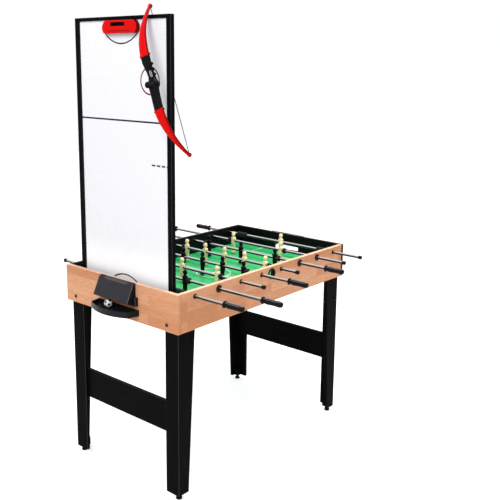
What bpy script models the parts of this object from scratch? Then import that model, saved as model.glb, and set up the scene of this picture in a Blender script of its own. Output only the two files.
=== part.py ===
"""Multi game table: football rods, upright slide hockey board and a toy bow.

Metres, +Z up. The long axis of the table is X, the near end is at -X and the
front, where the black team's handles are, is at -Y. The origin is on the
floor, midway between the four feet.
"""
import math

import bmesh
import bpy
import numpy as np
from mathutils import Matrix, Vector

# General fits
FIT_GAP = 0.0003
CUT_OVERRUN = 0.004
EDGE_BREAK = 0.0012

# Apron: four laminated boards round the playing field
TABLE_LENGTH = 1.02
TABLE_WIDTH = 0.61
TABLE_HEIGHT = 0.778
APRON_HEIGHT = 0.142
APRON_THICKNESS = 0.015
PLAYFIELD_DROP = 0.083
PLAYFIELD_THICKNESS = 0.009

# Legs: two boards joined to an L, with a levelling foot in the corner
LEG_BOARD = 0.012
LEG_END_WIDTH = 0.064
LEG_SIDE_WIDTH_TOP = 0.086
LEG_SIDE_WIDTH_FOOT = 0.05
LEG_CLEARANCE = 0.02
LEG_BLOCK_SIDE = 0.036
LEG_BLOCK_HEIGHT = 0.035
FOOT_INSET = 0.0195
FOOT_PAD_RADIUS = 0.011
FOOT_PAD_HEIGHT = 0.007
FOOT_STEM_RADIUS = 0.004
STRETCHER_BOTTOM = 0.245
STRETCHER_HEIGHT = 0.118
STRETCHER_THICKNESS = 0.012

# Rods
ROD_COUNT = 8
ROD_END_MARGIN = 0.083
ROD_DROP = 0.022
ROD_RADIUS = 0.0058
KEEPER_STUB = 0.427
TWO_MAN_STUB = 0.467
THREE_MAN_STUB = 0.42
FIVE_MAN_STUB = 0.386
ROD_HANDLE_REACH = 0.44
LONG_ROD_EXTRA = 0.065
KEEPER_TRAVEL = 0.035
TWO_MAN_TRAVEL = 0.128
THREE_MAN_TRAVEL = 0.078
FIVE_MAN_TRAVEL = 0.045
BUSH_RADIUS = 0.0085
BUSH_FLANGE = 0.0009
LARGE_BUSH_RADIUS = 0.0135
LARGE_BUSH_FLANGE = 0.0038
LARGE_BUSH_RODS = (1, 5, 6)
BUMPER_RADIUS = 0.0115
BUMPER_WIDTH = 0.012
BUMPER_OFFSET = 0.02
KEEPER_SLEEVE_LENGTH = 0.055
CAP_RADIUS = 0.0079
CAP_LENGTH = 0.014
CAP_END_WALL = 0.003
HANDLE_LENGTH = 0.086
HANDLE_RADIUS = 0.0108
HANDLE_FLUTE_DEPTH = 0.0011
HANDLE_COLLAR_RADIUS = 0.013
HANDLE_BORE_DEPTH = 0.06

# Men
MAN_REACH = 0.057
MAN_CROWN = 0.039
MAN_WIDTH = 0.0273
MAN_DEPTH = 0.021
MEN_PER_ROD = (1, 2, 3, 5, 5, 3, 2, 1)
HANDLE_SIDES = (-1, -1, 1, -1, 1, -1, 1, 1)

# Ball serve holes in the two long aprons
SERVE_HOLE_RADIUS = 0.0172
SERVE_HOLE_DROP = 0.029
SERVE_RING_WIDTH = 0.0035
SERVE_RING_FLANGE = 0.003

# Goal mouths in the end aprons, and the plastic housings outside them
GOAL_MOUTH_WIDTH = 0.14
GOAL_MOUTH_HEIGHT = 0.05
GOAL_MOUTH_SILL = 0.003
BOX_WIDTH = 0.187
BOX_WALL = 0.0028
BOX_RISE = 0.002
BOX_TOP_DEPTH = 0.011
BOX_TOP_FALL = 0.006
BOX_FOOT_DEPTH = 0.041
BOX_FRONT_HEIGHT = 0.07
BOX_BACK_HEIGHT = 0.088
BOX_TAB_WIDTH = 0.012
BOX_TAB_HEIGHT = 0.031
BOX_TAB_DEPTH = 0.009
BOX_RIB_COUNT = 10
BOX_RIB_HEIGHT = 0.0014
BOX_RIB_THICKNESS = 0.003
BOX_RIB_PITCH = 0.0105
TRAY_WIDTH = 0.22
TRAY_END_SLANT = 0.01
TRAY_END_DEPTH = 0.045
TRAY_BULGE = 0.026
TRAY_HEIGHT = 0.022
TRAY_WALL = 0.0028
TRAY_FLOOR = 0.0084
TRAY_DROP = 0.0955
BALL_RADIUS = 0.0155
BALL_ALONG = 0.028

# Slide hockey board, standing on the playing field inside the near apron
BOARD_LENGTH = 1.004
BOARD_WIDTH = 0.494
BOARD_SETBACK = 0.016
RAIL_FACE = 0.0175
RAIL_END_FACE = 0.0125
RAIL_DEPTH = 0.018
PANEL_THICKNESS = 0.006
PANEL_RECESS = 0.005
PANEL_GROOVE = 0.005
SLIDE_GOAL_WIDTH = 0.178
SLIDE_GOAL_HEIGHT = 0.044
SLIDE_GOAL_DEPTH = 0.0195
SLIDE_GOAL_SHIFT = -0.01
SLIDE_GOAL_WALL = 0.0022
SLIDE_GOAL_MOUTH = 0.13
SLIDE_GOAL_MARGIN = 0.0015
SLIDE_WINDOW_WIDTH = 0.073
SLIDE_WINDOW_HEIGHT = 0.013
SLIDE_WINDOW_SHIFT = 0.006

# Toy bow, hooked over the board's top corner by its string
BOW_CHORD = 0.516
BOW_LEAN = math.radians(20.5)
BOW_DEPTH = 0.082
BOW_CENTRE_Y = -0.222
BOW_CENTRE_RISE = 0.7935
RISER_LENGTH = 0.176
RISER_SHIFT = -0.01
RISER_WIDTH = 0.034
RISER_DEPTH = 0.028
LIMB_WIDTH = 0.04
LIMB_DEPTH = 0.016
LIMB_TIP_RADIUS = 0.0062
SPIGOT_LENGTH = 0.012
SPIGOT_WIDTH = 0.015
SPIGOT_DEPTH = 0.005
STRING_RADIUS = 0.0008
GUIDE_RADIUS = 0.0105
GUIDE_FRONT = 0.03
GUIDE_BACK = 0.02
GUIDE_SIDE = -0.004
GUIDE_FALL = 0.0075
SIGHT_PIN_RADIUS = 0.0048
SIGHT_PIN_REACH = 0.0075

# Facets
ROUND_SIDES = 16
ROD_SIDES = 12
MAN_SIDES = 8

# Places worked out from the sizes above
HALF_LENGTH = TABLE_LENGTH / 2
HALF_WIDTH = TABLE_WIDTH / 2
APRON_BOTTOM = TABLE_HEIGHT - APRON_HEIGHT
INNER_HALF_LENGTH = HALF_LENGTH - APRON_THICKNESS
INNER_HALF_WIDTH = HALF_WIDTH - APRON_THICKNESS
FIELD_TOP = TABLE_HEIGHT - PLAYFIELD_DROP
FIELD_BOTTOM = FIELD_TOP - PLAYFIELD_THICKNESS
ROD_HEIGHT = TABLE_HEIGHT - ROD_DROP
STUB_REACH = {1: KEEPER_STUB, 2: TWO_MAN_STUB, 3: THREE_MAN_STUB, 5: FIVE_MAN_STUB}
TRAVEL = {1: KEEPER_TRAVEL, 2: TWO_MAN_TRAVEL, 3: THREE_MAN_TRAVEL, 5: FIVE_MAN_TRAVEL}
ROD_PITCH = (TABLE_LENGTH - 2 * ROD_END_MARGIN) / (ROD_COUNT - 1)
BORE_RADIUS = ROD_RADIUS + FIT_GAP
BOARD_FRONT = -INNER_HALF_LENGTH + BOARD_SETBACK
BOARD_BACK = BOARD_FRONT + RAIL_DEPTH
BOARD_FOOT = FIELD_TOP + FIT_GAP
BOARD_TOP = BOARD_FOOT + BOARD_LENGTH
STRING_X = BOARD_BACK + STRING_RADIUS + FIT_GAP
BOW_CENTRE = Vector((STRING_X, BOW_CENTRE_Y, FIELD_TOP + BOW_CENTRE_RISE))

# How far each rod is pushed over in the photo, as a share of its travel
REST_SHARES = (0, 0, 0, 1 / 9, -2 / 15, 4 / 39, 5 / 32, -22 / 35)
# Each row of a loft: height share, width share, depth share
MAN_SECTION_SHARES = (
    (0.00, 0.62, 0.94), (0.09, 0.62, 1.00), (0.15, 0.48, 0.54), (0.30, 0.56, 0.60),
    (0.45, 0.70, 0.70), (0.52, 0.66, 0.72), (0.61, 0.94, 1.00), (0.70, 1.00, 0.88),
    (0.755, 0.56, 0.56), (0.785, 0.36, 0.40), (0.83, 0.57, 0.73), (0.90, 0.64, 0.83),
    (0.96, 0.52, 0.66), (1.00, 0.22, 0.30),
)
# Each row: place along the handle, radius share, flute share
HANDLE_SECTION_SHARES = (
    (0.00, 1.00, 0.0), (0.045, 1.00, 0.0), (0.06, 0.66, 0.0), (0.12, 0.80, 0.4),
    (0.22, 0.97, 1.0), (0.60, 0.90, 1.0), (0.85, 1.00, 1.0), (0.95, 0.90, 0.4),
    (1.00, 0.62, 0.0),
)
# Each row: place along the limb, width share, depth share
LIMB_SECTION_SHARES = (
    (0.00, 1.00, 1.00), (0.03, 1.06, 1.10), (0.05, 0.92, 0.92), (0.25, 0.84, 0.88),
    (0.45, 0.64, 0.76), (0.65, 0.44, 0.62), (0.82, 0.30, 0.50), (0.985, 0.21, 0.42),
)
# Each row: place along the riser, width share, depth share, depth offset share
RISER_SECTION_SHARES = (
    (-0.50, 1.00, 0.74, 0.00), (-0.42, 0.96, 0.80, 0.00), (-0.15, 0.90, 0.96, 0.08),
    (-0.04, 1.02, 1.12, 0.14), (0.04, 0.90, 1.05, 0.20), (0.12, 0.62, 0.80, 0.28),
    (0.26, 0.70, 0.78, 0.14), (0.40, 0.96, 0.80, 0.00), (0.50, 1.00, 0.74, 0.00),
)
SIGHT_PIN_SHARES = (0.14, 0.24, 0.34)
# Right half of the hockey goal's outline, each row: half width share, height share
SLIDE_GOAL_SHARES = (
    (0.90, 0.00), (0.965, 0.20), (1.00, 0.44), (0.97, 0.68), (0.90, 0.88), (0.81, 1.00),
)

MATERIAL_LOOKS = {
    "wood_laminate": ((0.72, 0.42, 0.25), 0.45, 0.0),
    "black_laminate": ((0.012, 0.012, 0.014), 0.4, 0.0),
    "green_field": ((0.045, 0.47, 0.14), 0.5, 0.0),
    "chrome_steel": ((0.75, 0.76, 0.78), 0.12, 1.0),
    "black_plastic": ((0.02, 0.02, 0.022), 0.45, 0.0),
    "cream_plastic": ((0.82, 0.74, 0.48), 0.4, 0.0),
    "white_panel": ((0.9, 0.9, 0.93), 0.3, 0.0),
    "red_plastic": ((0.8, 0.015, 0.012), 0.35, 0.0),
    "white_ball": ((0.88, 0.88, 0.88), 0.35, 0.0),
    "black_cord": ((0.02, 0.02, 0.02), 0.8, 0.0),
}


def clear_scene():
    for old in list(bpy.data.objects):
        bpy.data.objects.remove(old, do_unlink=True)


def new_collection(name):
    collection = bpy.data.collections.new(name)
    bpy.context.scene.collection.children.link(collection)
    return collection


def make_material(name):
    colour, roughness, metallic = MATERIAL_LOOKS[name]
    material = bpy.data.materials.new(name)
    material.use_nodes = True
    shader = material.node_tree.nodes["Principled BSDF"]
    shader.inputs["Base Color"].default_value = (*colour, 1.0)
    shader.inputs["Roughness"].default_value = roughness
    shader.inputs["Metallic"].default_value = metallic
    return material


clear_scene()
PARTS = new_collection("multi_game_table")
CUTTERS = new_collection("cutters")
MATERIALS = {name: make_material(name) for name in MATERIAL_LOOKS}


def add_part(name, mesh, material):
    part = bpy.data.objects.new(name, mesh)
    part.data.materials.append(MATERIALS[material])
    PARTS.objects.link(part)
    return part


def add_cutter(name, mesh):
    cutter = bpy.data.objects.new(name, mesh)
    cutter.hide_render = True
    cutter.display_type = "WIRE"
    CUTTERS.objects.link(cutter)
    return cutter


def mesh_from(bm, name):
    mesh = bpy.data.meshes.new(name)
    bm.to_mesh(mesh)
    bm.free()
    return mesh


def add_box(bm, low, high):
    """One closed box between two corners."""
    low, high = Vector(low), Vector(high)
    place = Matrix.Translation((low + high) / 2) @ Matrix.Diagonal((*(high - low), 1.0))
    bmesh.ops.create_cube(bm, size=1.0, matrix=place)


def add_cylinder(bm, start, end, radius, sides=ROUND_SIDES):
    """One closed cylinder between two points on its axis."""
    start, end = Vector(start), Vector(end)
    span = end - start
    turn = span.to_track_quat("Z", "Y").to_matrix().to_4x4()
    place = Matrix.Translation((start + end) / 2) @ turn
    bmesh.ops.create_cone(bm, cap_ends=True, segments=sides, radius1=radius,
                          radius2=radius, depth=span.length, matrix=place)


def box_mesh(name, low, high):
    bm = bmesh.new()
    add_box(bm, low, high)
    return mesh_from(bm, name)


def boolean(part, tool, operation):
    modifier = part.modifiers.new(tool.name, "BOOLEAN")
    modifier.operation = operation
    modifier.solver = "EXACT"
    modifier.object = tool


def bevel(part, width=EDGE_BREAK):
    modifier = part.modifiers.new("edge break", "BEVEL")
    modifier.width = width
    modifier.segments = 1
    modifier.limit_method = "ANGLE"


def shade_round(part, degrees=35):
    part.data.shade_smooth()
    part.data.set_sharp_from_angle(angle=math.radians(degrees))


def loft_mesh(name, rings):
    """Closed skin over rings of points that all have the same count."""
    bm = bmesh.new()
    loops = [[bm.verts.new(point) for point in ring] for ring in rings]
    for lower, upper in zip(loops, loops[1:]):
        for index in range(len(lower)):
            follow = (index + 1) % len(lower)
            bm.faces.new((lower[index], lower[follow], upper[follow], upper[index]))
    bm.faces.new(reversed(loops[0]))
    bm.faces.new(loops[-1])
    bmesh.ops.recalc_face_normals(bm, faces=bm.faces)
    return mesh_from(bm, name)


def oval(count, squareness=0.75):
    """Points of a unit oval; a lower squareness gives fuller corners."""
    angles = [2 * math.pi * (index + 0.5) / count for index in range(count)]
    return [(math.copysign(abs(math.cos(a)) ** squareness, math.cos(a)),
             math.copysign(abs(math.sin(a)) ** squareness, math.sin(a))) for a in angles]


def outline_mesh(name, points, thickness, place):
    """A flat outline in its own XY plane, given a thickness and a place."""
    curve = bpy.data.curves.new(name, "CURVE")
    curve.dimensions = "2D"
    curve.fill_mode = "BOTH"
    curve.extrude = thickness / 2
    spline = curve.splines.new("POLY")
    spline.points.add(len(points) - 1)
    for target, (x, y) in zip(spline.points, points):
        target.co = (x, y, 0.0, 1.0)
    spline.use_cyclic_u = True
    holder = bpy.data.objects.new(name + "_outline", curve)
    bpy.context.scene.collection.objects.link(holder)
    bpy.context.view_layer.update()
    ready = holder.evaluated_get(bpy.context.evaluated_depsgraph_get())
    mesh = bpy.data.meshes.new_from_object(ready)
    bpy.data.objects.remove(holder, do_unlink=True)
    bpy.data.curves.remove(curve)
    bm = bmesh.new()
    bm.from_mesh(mesh)
    bmesh.ops.remove_doubles(bm, verts=bm.verts, dist=FIT_GAP / 10)
    bmesh.ops.transform(bm, matrix=place, verts=bm.verts)
    bmesh.ops.recalc_face_normals(bm, faces=bm.faces)
    bm.to_mesh(mesh)
    bm.free()
    return mesh


def turned(part_name, profile, material, sides, centre):
    """A turned solid along Y: profile rows are (radius, place along Y)."""
    mesh = bpy.data.meshes.new(part_name)
    points = [(radius, 0.0, along) for radius, along in profile]
    mesh.from_pydata(points, [(i, i + 1) for i in range(len(points) - 1)], [])
    part = add_part(part_name, mesh, material)
    part.location = centre
    part.rotation_euler = (-math.pi / 2, 0.0, 0.0)
    screw = part.modifiers.new("turn", "SCREW")
    screw.steps = sides
    screw.render_steps = sides
    screw.use_merge_vertices = True
    screw.merge_threshold = FIT_GAP / 10
    screw.use_smooth_shade = True
    return part


def rod_x(index):
    return (index - (ROD_COUNT - 1) / 2) * ROD_PITCH


def rest_y(index):
    """How far each rod stands pushed to one side in the photo."""
    return REST_SHARES[index] * TRAVEL[MEN_PER_ROD[index]]


def men_places(count):
    """The outer men stand so that their rubbers meet the aprons at the end of the rod's travel."""
    if count == 1:
        return [0.0]
    outer = INNER_HALF_WIDTH - TRAVEL[count] - BUMPER_OFFSET - BUMPER_WIDTH / 2
    return [outer * (2 * i / (count - 1) - 1) for i in range(count)]


def make_long_apron(name, side):
    """Front or back board, with rod bores, bearing flanges and a serve hole."""
    outer = side * HALF_WIDTH
    inner = side * INNER_HALF_WIDTH
    reach = INNER_HALF_LENGTH - FIT_GAP
    low = (-reach, min(outer, inner), APRON_BOTTOM)
    high = (reach, max(outer, inner), TABLE_HEIGHT)
    apron = add_part(name, box_mesh(name, low, high), "wood_laminate")
    bevel(apron)
    serve_height = TABLE_HEIGHT - SERVE_HOLE_DROP
    flanges = bmesh.new()
    bores = bmesh.new()
    middle = (outer + inner) / 2
    for index in range(ROD_COUNT):
        x = rod_x(index)
        large = index in LARGE_BUSH_RODS
        proud = LARGE_BUSH_FLANGE if large else BUSH_FLANGE
        add_cylinder(flanges, (x, middle, ROD_HEIGHT), (x, outer + side * proud, ROD_HEIGHT),
                     LARGE_BUSH_RADIUS if large else BUSH_RADIUS)
        add_cylinder(bores, (x, inner - side * CUT_OVERRUN, ROD_HEIGHT),
                     (x, outer + side * (proud + CUT_OVERRUN), ROD_HEIGHT), BORE_RADIUS)
    add_cylinder(flanges, (0.0, middle, serve_height),
                 (0.0, outer + side * SERVE_RING_FLANGE, serve_height),
                 SERVE_HOLE_RADIUS + SERVE_RING_WIDTH, sides=2 * ROD_SIDES)
    add_cylinder(bores, (0.0, inner - side * CUT_OVERRUN, serve_height),
                 (0.0, outer + side * (SERVE_RING_FLANGE + CUT_OVERRUN), serve_height),
                 SERVE_HOLE_RADIUS, sides=2 * ROD_SIDES)
    boolean(apron, add_cutter(name + "_flanges", mesh_from(flanges, name + "_flanges")), "UNION")
    boolean(apron, add_cutter(name + "_bores", mesh_from(bores, name + "_bores")), "DIFFERENCE")
    return apron


def make_end_apron(name, end):
    """Near or far board across the whole width, with the goal mouth cut through it."""
    outer = end * HALF_LENGTH
    inner = end * INNER_HALF_LENGTH
    low = (min(outer, inner), -HALF_WIDTH, APRON_BOTTOM)
    high = (max(outer, inner), HALF_WIDTH, TABLE_HEIGHT)
    apron = add_part(name, box_mesh(name, low, high), "wood_laminate")
    bevel(apron)
    sill = FIELD_TOP + GOAL_MOUTH_SILL
    mouth = box_mesh(name + "_mouth",
                     (low[0] - CUT_OVERRUN, -GOAL_MOUTH_WIDTH / 2, sill),
                     (high[0] + CUT_OVERRUN, GOAL_MOUTH_WIDTH / 2, sill + GOAL_MOUTH_HEIGHT))
    boolean(apron, add_cutter(name + "_mouth", mouth), "DIFFERENCE")
    return apron


def make_playfield():
    reach_x = INNER_HALF_LENGTH - FIT_GAP
    reach_y = INNER_HALF_WIDTH - FIT_GAP
    mesh = box_mesh("playfield", (-reach_x, -reach_y, FIELD_BOTTOM), (reach_x, reach_y, FIELD_TOP))
    return add_part("playfield", mesh, "green_field")


def make_leg(name, end, side):
    """An L of two boards; the board under the long apron tapers towards the floor."""
    corner_x = end * (INNER_HALF_LENGTH - FIT_GAP)
    corner_y = side * (INNER_HALF_WIDTH - FIT_GAP)
    top = FIELD_BOTTOM - FIT_GAP
    rings = []
    for level, side_width in ((LEG_CLEARANCE, LEG_SIDE_WIDTH_FOOT), (top, LEG_SIDE_WIDTH_TOP)):
        shape = [(0.0, 0.0), (side_width, 0.0), (side_width, LEG_BOARD), (LEG_BOARD, LEG_BOARD),
                 (LEG_BOARD, LEG_END_WIDTH), (0.0, LEG_END_WIDTH)]
        rings.append([(corner_x - end * x, corner_y - side * y, level) for x, y in shape])
    leg = add_part(name, loft_mesh(name, rings), "black_laminate")
    bevel(leg, EDGE_BREAK / 2)
    block = bmesh.new()
    block_x = corner_x - end * LEG_BLOCK_SIDE
    block_y = corner_y - side * LEG_BLOCK_SIDE
    shy = EDGE_BREAK
    add_box(block, (min(corner_x - end * shy, block_x), min(corner_y - side * shy, block_y),
                    LEG_CLEARANCE + shy),
            (max(corner_x - end * shy, block_x), max(corner_y - side * shy, block_y),
             LEG_CLEARANCE + LEG_BLOCK_HEIGHT))
    boolean(leg, add_cutter(name + "_block", mesh_from(block, name + "_block")), "UNION")
    foot = bmesh.new()
    foot_x = corner_x - end * FOOT_INSET
    foot_y = corner_y - side * FOOT_INSET
    add_cylinder(foot, (foot_x, foot_y, FOOT_PAD_HEIGHT / 2),
                 (foot_x, foot_y, LEG_CLEARANCE + LEG_BLOCK_HEIGHT / 2), FOOT_STEM_RADIUS, ROD_SIDES)
    boolean(leg, add_cutter(name + "_stem", mesh_from(foot, name + "_stem")), "UNION")
    pad = bmesh.new()
    add_cylinder(pad, (foot_x, foot_y, 0.0), (foot_x, foot_y, FOOT_PAD_HEIGHT), FOOT_PAD_RADIUS)
    boolean(leg, add_cutter(name + "_pad", mesh_from(pad, name + "_pad")), "UNION")
    return leg


def make_stretcher(name, end):
    outer = INNER_HALF_LENGTH - LEG_BOARD - 2 * FIT_GAP
    inner = outer - STRETCHER_THICKNESS
    reach = INNER_HALF_WIDTH - LEG_BOARD - 2 * FIT_GAP
    low = (min(end * outer, end * inner), -reach, STRETCHER_BOTTOM)
    high = (max(end * outer, end * inner), reach, STRETCHER_BOTTOM + STRETCHER_HEIGHT)
    stretcher = add_part(name, box_mesh(name, low, high), "black_laminate")
    bevel(stretcher)
    return stretcher


def facing(end):
    """Turns a shape made for the near end round to the end asked for."""
    return Matrix.Identity(4) if end < 0 else Matrix.Rotation(math.pi, 4, "Z")


def make_goal_box(name, end):
    """Housing over the goal mouth: open at the back and below, ribbed on top."""
    face = -HALF_LENGTH - FIT_GAP
    top = TABLE_HEIGHT + BOX_RISE
    half = BOX_WIDTH / 2

    def side_profile(inset):
        slope = (BOX_FOOT_DEPTH - BOX_TOP_DEPTH) / (BOX_FRONT_HEIGHT - BOX_TOP_FALL)
        past = CUT_OVERRUN if inset else 0.0
        return [(face + past, top - inset),
                (face - BOX_TOP_DEPTH + inset, top - BOX_TOP_FALL - inset),
                (face - BOX_FOOT_DEPTH + inset - slope * past, top - BOX_FRONT_HEIGHT - past),
                (face + past, top - BOX_BACK_HEIGHT - past)]

    upright = Matrix.Rotation(math.pi / 2, 4, "X")
    mesh = outline_mesh(name, side_profile(0.0), BOX_WIDTH, upright)
    mesh.transform(facing(end))
    box = add_part(name, mesh, "black_plastic")
    bevel(box)
    extras = bmesh.new()
    rib_span = (BOX_RIB_COUNT - 1) * BOX_RIB_PITCH
    for index in range(BOX_RIB_COUNT):
        y = index * BOX_RIB_PITCH - rib_span / 2
        add_box(extras, (face - BOX_TOP_DEPTH * 0.8, y - BOX_RIB_THICKNESS / 2, top - BOX_WALL / 2),
                (face - BOX_TOP_DEPTH * 0.2, y + BOX_RIB_THICKNESS / 2, top + BOX_RIB_HEIGHT))
    for corner in extras.verts:
        corner.co.z -= BOX_TOP_FALL * (face - corner.co.x) / BOX_TOP_DEPTH
    tab_foot = top - BOX_BACK_HEIGHT + BOX_WALL * 2
    for side in (-1, 1):
        ys = sorted((side * (half - BOX_WALL / 2), side * (half + BOX_TAB_WIDTH)))
        add_box(extras, (face - BOX_TAB_DEPTH, ys[0], tab_foot),
                (face, ys[1], tab_foot + BOX_TAB_HEIGHT))
    extras.transform(facing(end))
    boolean(box, add_cutter(name + "_ribs_and_tabs", mesh_from(extras, name + "_ribs")), "UNION")
    hollow = outline_mesh(name + "_hollow", side_profile(BOX_WALL), BOX_WIDTH - 2 * BOX_WALL, upright)
    hollow.transform(facing(end))
    boolean(box, add_cutter(name + "_hollow", hollow), "DIFFERENCE")
    return box


def tray_outline(inset):
    """Crescent seen from above: straight back, short ends, one bulging front."""
    face = -HALF_LENGTH - FIT_GAP
    half = TRAY_WIDTH / 2 - inset
    corner = half - TRAY_END_SLANT
    steps = ROUND_SIDES
    front = [(corner * (1 - 2 * i / steps)) for i in range(steps + 1)]
    arc = [(face - TRAY_END_DEPTH + inset - TRAY_BULGE * (1 - (y / corner) ** 2), y) for y in front]
    return [(face - inset, -half), (face - inset, half)] + arc


def make_ball_tray(name, end):
    floor = TABLE_HEIGHT - TRAY_DROP - TRAY_HEIGHT
    middle = Matrix.Translation((0.0, 0.0, floor + TRAY_HEIGHT / 2))
    mesh = outline_mesh(name, tray_outline(0.0), TRAY_HEIGHT, middle)
    mesh.transform(facing(end))
    tray = add_part(name, mesh, "black_plastic")
    raised = Matrix.Translation((0.0, 0.0, floor + TRAY_HEIGHT / 2 + TRAY_FLOOR))
    hollow = outline_mesh(name + "_hollow", tray_outline(TRAY_WALL), TRAY_HEIGHT, raised)
    hollow.transform(facing(end))
    boolean(tray, add_cutter(name + "_hollow", hollow), "DIFFERENCE")
    return tray


def make_ball():
    """The football that lies in the near tray."""
    floor = TABLE_HEIGHT - TRAY_DROP - TRAY_HEIGHT + TRAY_FLOOR
    bm = bmesh.new()
    bmesh.ops.create_uvsphere(bm, u_segments=ROUND_SIDES, v_segments=ROD_SIDES, radius=BALL_RADIUS)
    ball = add_part("ball", mesh_from(bm, "ball"), "white_ball")
    out = HALF_LENGTH + FIT_GAP + TRAY_WALL + BALL_RADIUS + 2 * TRAY_WALL
    ball.location = (-out, BALL_ALONG, floor + BALL_RADIUS + FIT_GAP)
    shade_round(ball)
    return ball


def bumper_spans(men):
    """Rubber rings beside the outer men; a keeper's rod has two long sleeves instead."""
    if len(men) == 1:
        end = INNER_HALF_WIDTH - KEEPER_TRAVEL
        start = end - KEEPER_SLEEVE_LENGTH
        return [(-end, -start), (start, end)]
    half = BUMPER_WIDTH / 2
    middles = (men[0] - BUMPER_OFFSET, men[-1] + BUMPER_OFFSET)
    return [(middle - half, middle + half) for middle in middles]


def handle_reach(count):
    """A two-man rod travels furthest, so it is the longer one."""
    return ROD_HANDLE_REACH + (LONG_ROD_EXTRA if count == 2 else 0.0)


def make_rod(index, men):
    """Steel rod with its two rubber rings, from the cap's seat to the handle's seat."""
    side = HANDLE_SIDES[index]
    count = MEN_PER_ROD[index]
    stub = -side * (STUB_REACH[count] - CAP_END_WALL - FIT_GAP)
    grip = side * (handle_reach(count) + HANDLE_BORE_DEPTH - FIT_GAP)
    high, low = max(stub, grip), min(stub, grip)
    profile = [(0.0, high), (ROD_RADIUS, high)]
    for near, far in reversed(bumper_spans(men)):
        profile += [(ROD_RADIUS, far), (BUMPER_RADIUS, far),
                    (BUMPER_RADIUS, near), (ROD_RADIUS, near)]
    profile += [(ROD_RADIUS, low), (0.0, low)]
    centre = (rod_x(index), rest_y(index), ROD_HEIGHT)
    return turned(f"rod_{index + 1}", profile, "chrome_steel", ROD_SIDES, centre)


def make_cap(index):
    """Plug over the rod's stub end; it stops the rod sliding out of its bearing."""
    side = -HANDLE_SIDES[index]
    reach = STUB_REACH[MEN_PER_ROD[index]]
    inner = reach - CAP_LENGTH
    name = f"end_cap_{index + 1}"
    bm = bmesh.new()
    add_cylinder(bm, (0.0, side * inner, 0.0), (0.0, side * reach, 0.0), CAP_RADIUS)
    cap = add_part(name, mesh_from(bm, name), "black_plastic")
    cap.location = (rod_x(index), rest_y(index), ROD_HEIGHT)
    bevel(cap)
    seat = bmesh.new()
    add_cylinder(seat, (0.0, side * (inner - CUT_OVERRUN), 0.0),
                 (0.0, side * (reach - CAP_END_WALL), 0.0), BORE_RADIUS)
    cutter = add_cutter(name + "_seat", mesh_from(seat, name + "_seat"))
    cutter.location = cap.location
    boolean(cap, cutter, "DIFFERENCE")
    shade_round(cap)
    return cap


def make_handle(index):
    """Fluted grip with a collar, pushed onto the rod's end."""
    side = HANDLE_SIDES[index]
    start = handle_reach(MEN_PER_ROD[index])
    name = f"handle_{index + 1}"
    rings = []
    for place, radius_share, flute_share in HANDLE_SECTION_SHARES:
        size = HANDLE_COLLAR_RADIUS if place < HANDLE_SECTION_SHARES[2][0] else HANDLE_RADIUS
        ring = []
        for k in range(ROUND_SIDES):
            angle = 2 * math.pi * k / ROUND_SIDES
            radius = size * radius_share - (k % 2) * flute_share * HANDLE_FLUTE_DEPTH
            ring.append((radius * math.cos(angle), side * (start + place * HANDLE_LENGTH),
                         radius * math.sin(angle)))
        rings.append(ring)
    handle = add_part(name, loft_mesh(name, rings), "black_plastic")
    handle.location = (rod_x(index), rest_y(index), ROD_HEIGHT)
    seat = bmesh.new()
    add_cylinder(seat, (0.0, side * (start - CUT_OVERRUN), 0.0),
                 (0.0, side * (start + HANDLE_BORE_DEPTH), 0.0), BORE_RADIUS)
    cutter = add_cutter(name + "_seat", mesh_from(seat, name + "_seat"))
    cutter.location = handle.location
    boolean(handle, cutter, "DIFFERENCE")
    shade_round(handle, 50)
    return handle


def man_mesh(name):
    """One player, his axis on the rod, lofted from sole to crown."""
    height = MAN_REACH + MAN_CROWN
    rings = [[(x * depth * MAN_DEPTH / 2, y * width * MAN_WIDTH / 2, level * height - MAN_REACH)
              for x, y in oval(MAN_SIDES, 0.7)] for level, width, depth in MAN_SECTION_SHARES]
    return loft_mesh(name, rings)


def make_men(index, rod, men):
    """Separate pierced men, or on the five-man rods men joined to their rod."""
    team = "black" if HANDLE_SIDES[index] < 0 else "cream"
    five = len(men) == 5
    for letter, y in zip("abcde", men):
        name = f"{team}_man_{index + 1}{letter if len(men) > 1 else ''}"
        place = (rod_x(index), rest_y(index) + y, ROD_HEIGHT)
        if five:
            shape = add_cutter(name, man_mesh(name))
            shape.location = place
            boolean(rod, shape, "UNION")
            continue
        man = add_part(name, man_mesh(name), team + "_plastic")
        man.location = place
        bm = bmesh.new()
        add_cylinder(bm, (0.0, -MAN_WIDTH, 0.0), (0.0, MAN_WIDTH, 0.0), BORE_RADIUS, ROD_SIDES)
        cutter = add_cutter(name + "_bore", mesh_from(bm, name + "_bore"))
        cutter.location = place
        boolean(man, cutter, "DIFFERENCE")
        shade_round(man, 50)


def make_hockey_frame():
    """Four rails round the white panel, grooved on the inside to hold it."""
    half = BOARD_WIDTH / 2
    frame = add_part("hockey_frame", box_mesh("hockey_frame", (BOARD_FRONT, -half, BOARD_FOOT),
                                              (BOARD_BACK, half, BOARD_TOP)), "black_laminate")
    bevel(frame)
    inner = half - RAIL_FACE
    opening = box_mesh("frame_opening",
                       (BOARD_FRONT - CUT_OVERRUN, -inner, BOARD_FOOT + RAIL_END_FACE),
                       (BOARD_BACK + CUT_OVERRUN, inner, BOARD_TOP - RAIL_END_FACE))
    boolean(frame, add_cutter("frame_opening", opening), "DIFFERENCE")
    low, high = panel_corners(FIT_GAP)
    boolean(frame, add_cutter("frame_groove", box_mesh("frame_groove", low, high)), "DIFFERENCE")
    return frame


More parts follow.
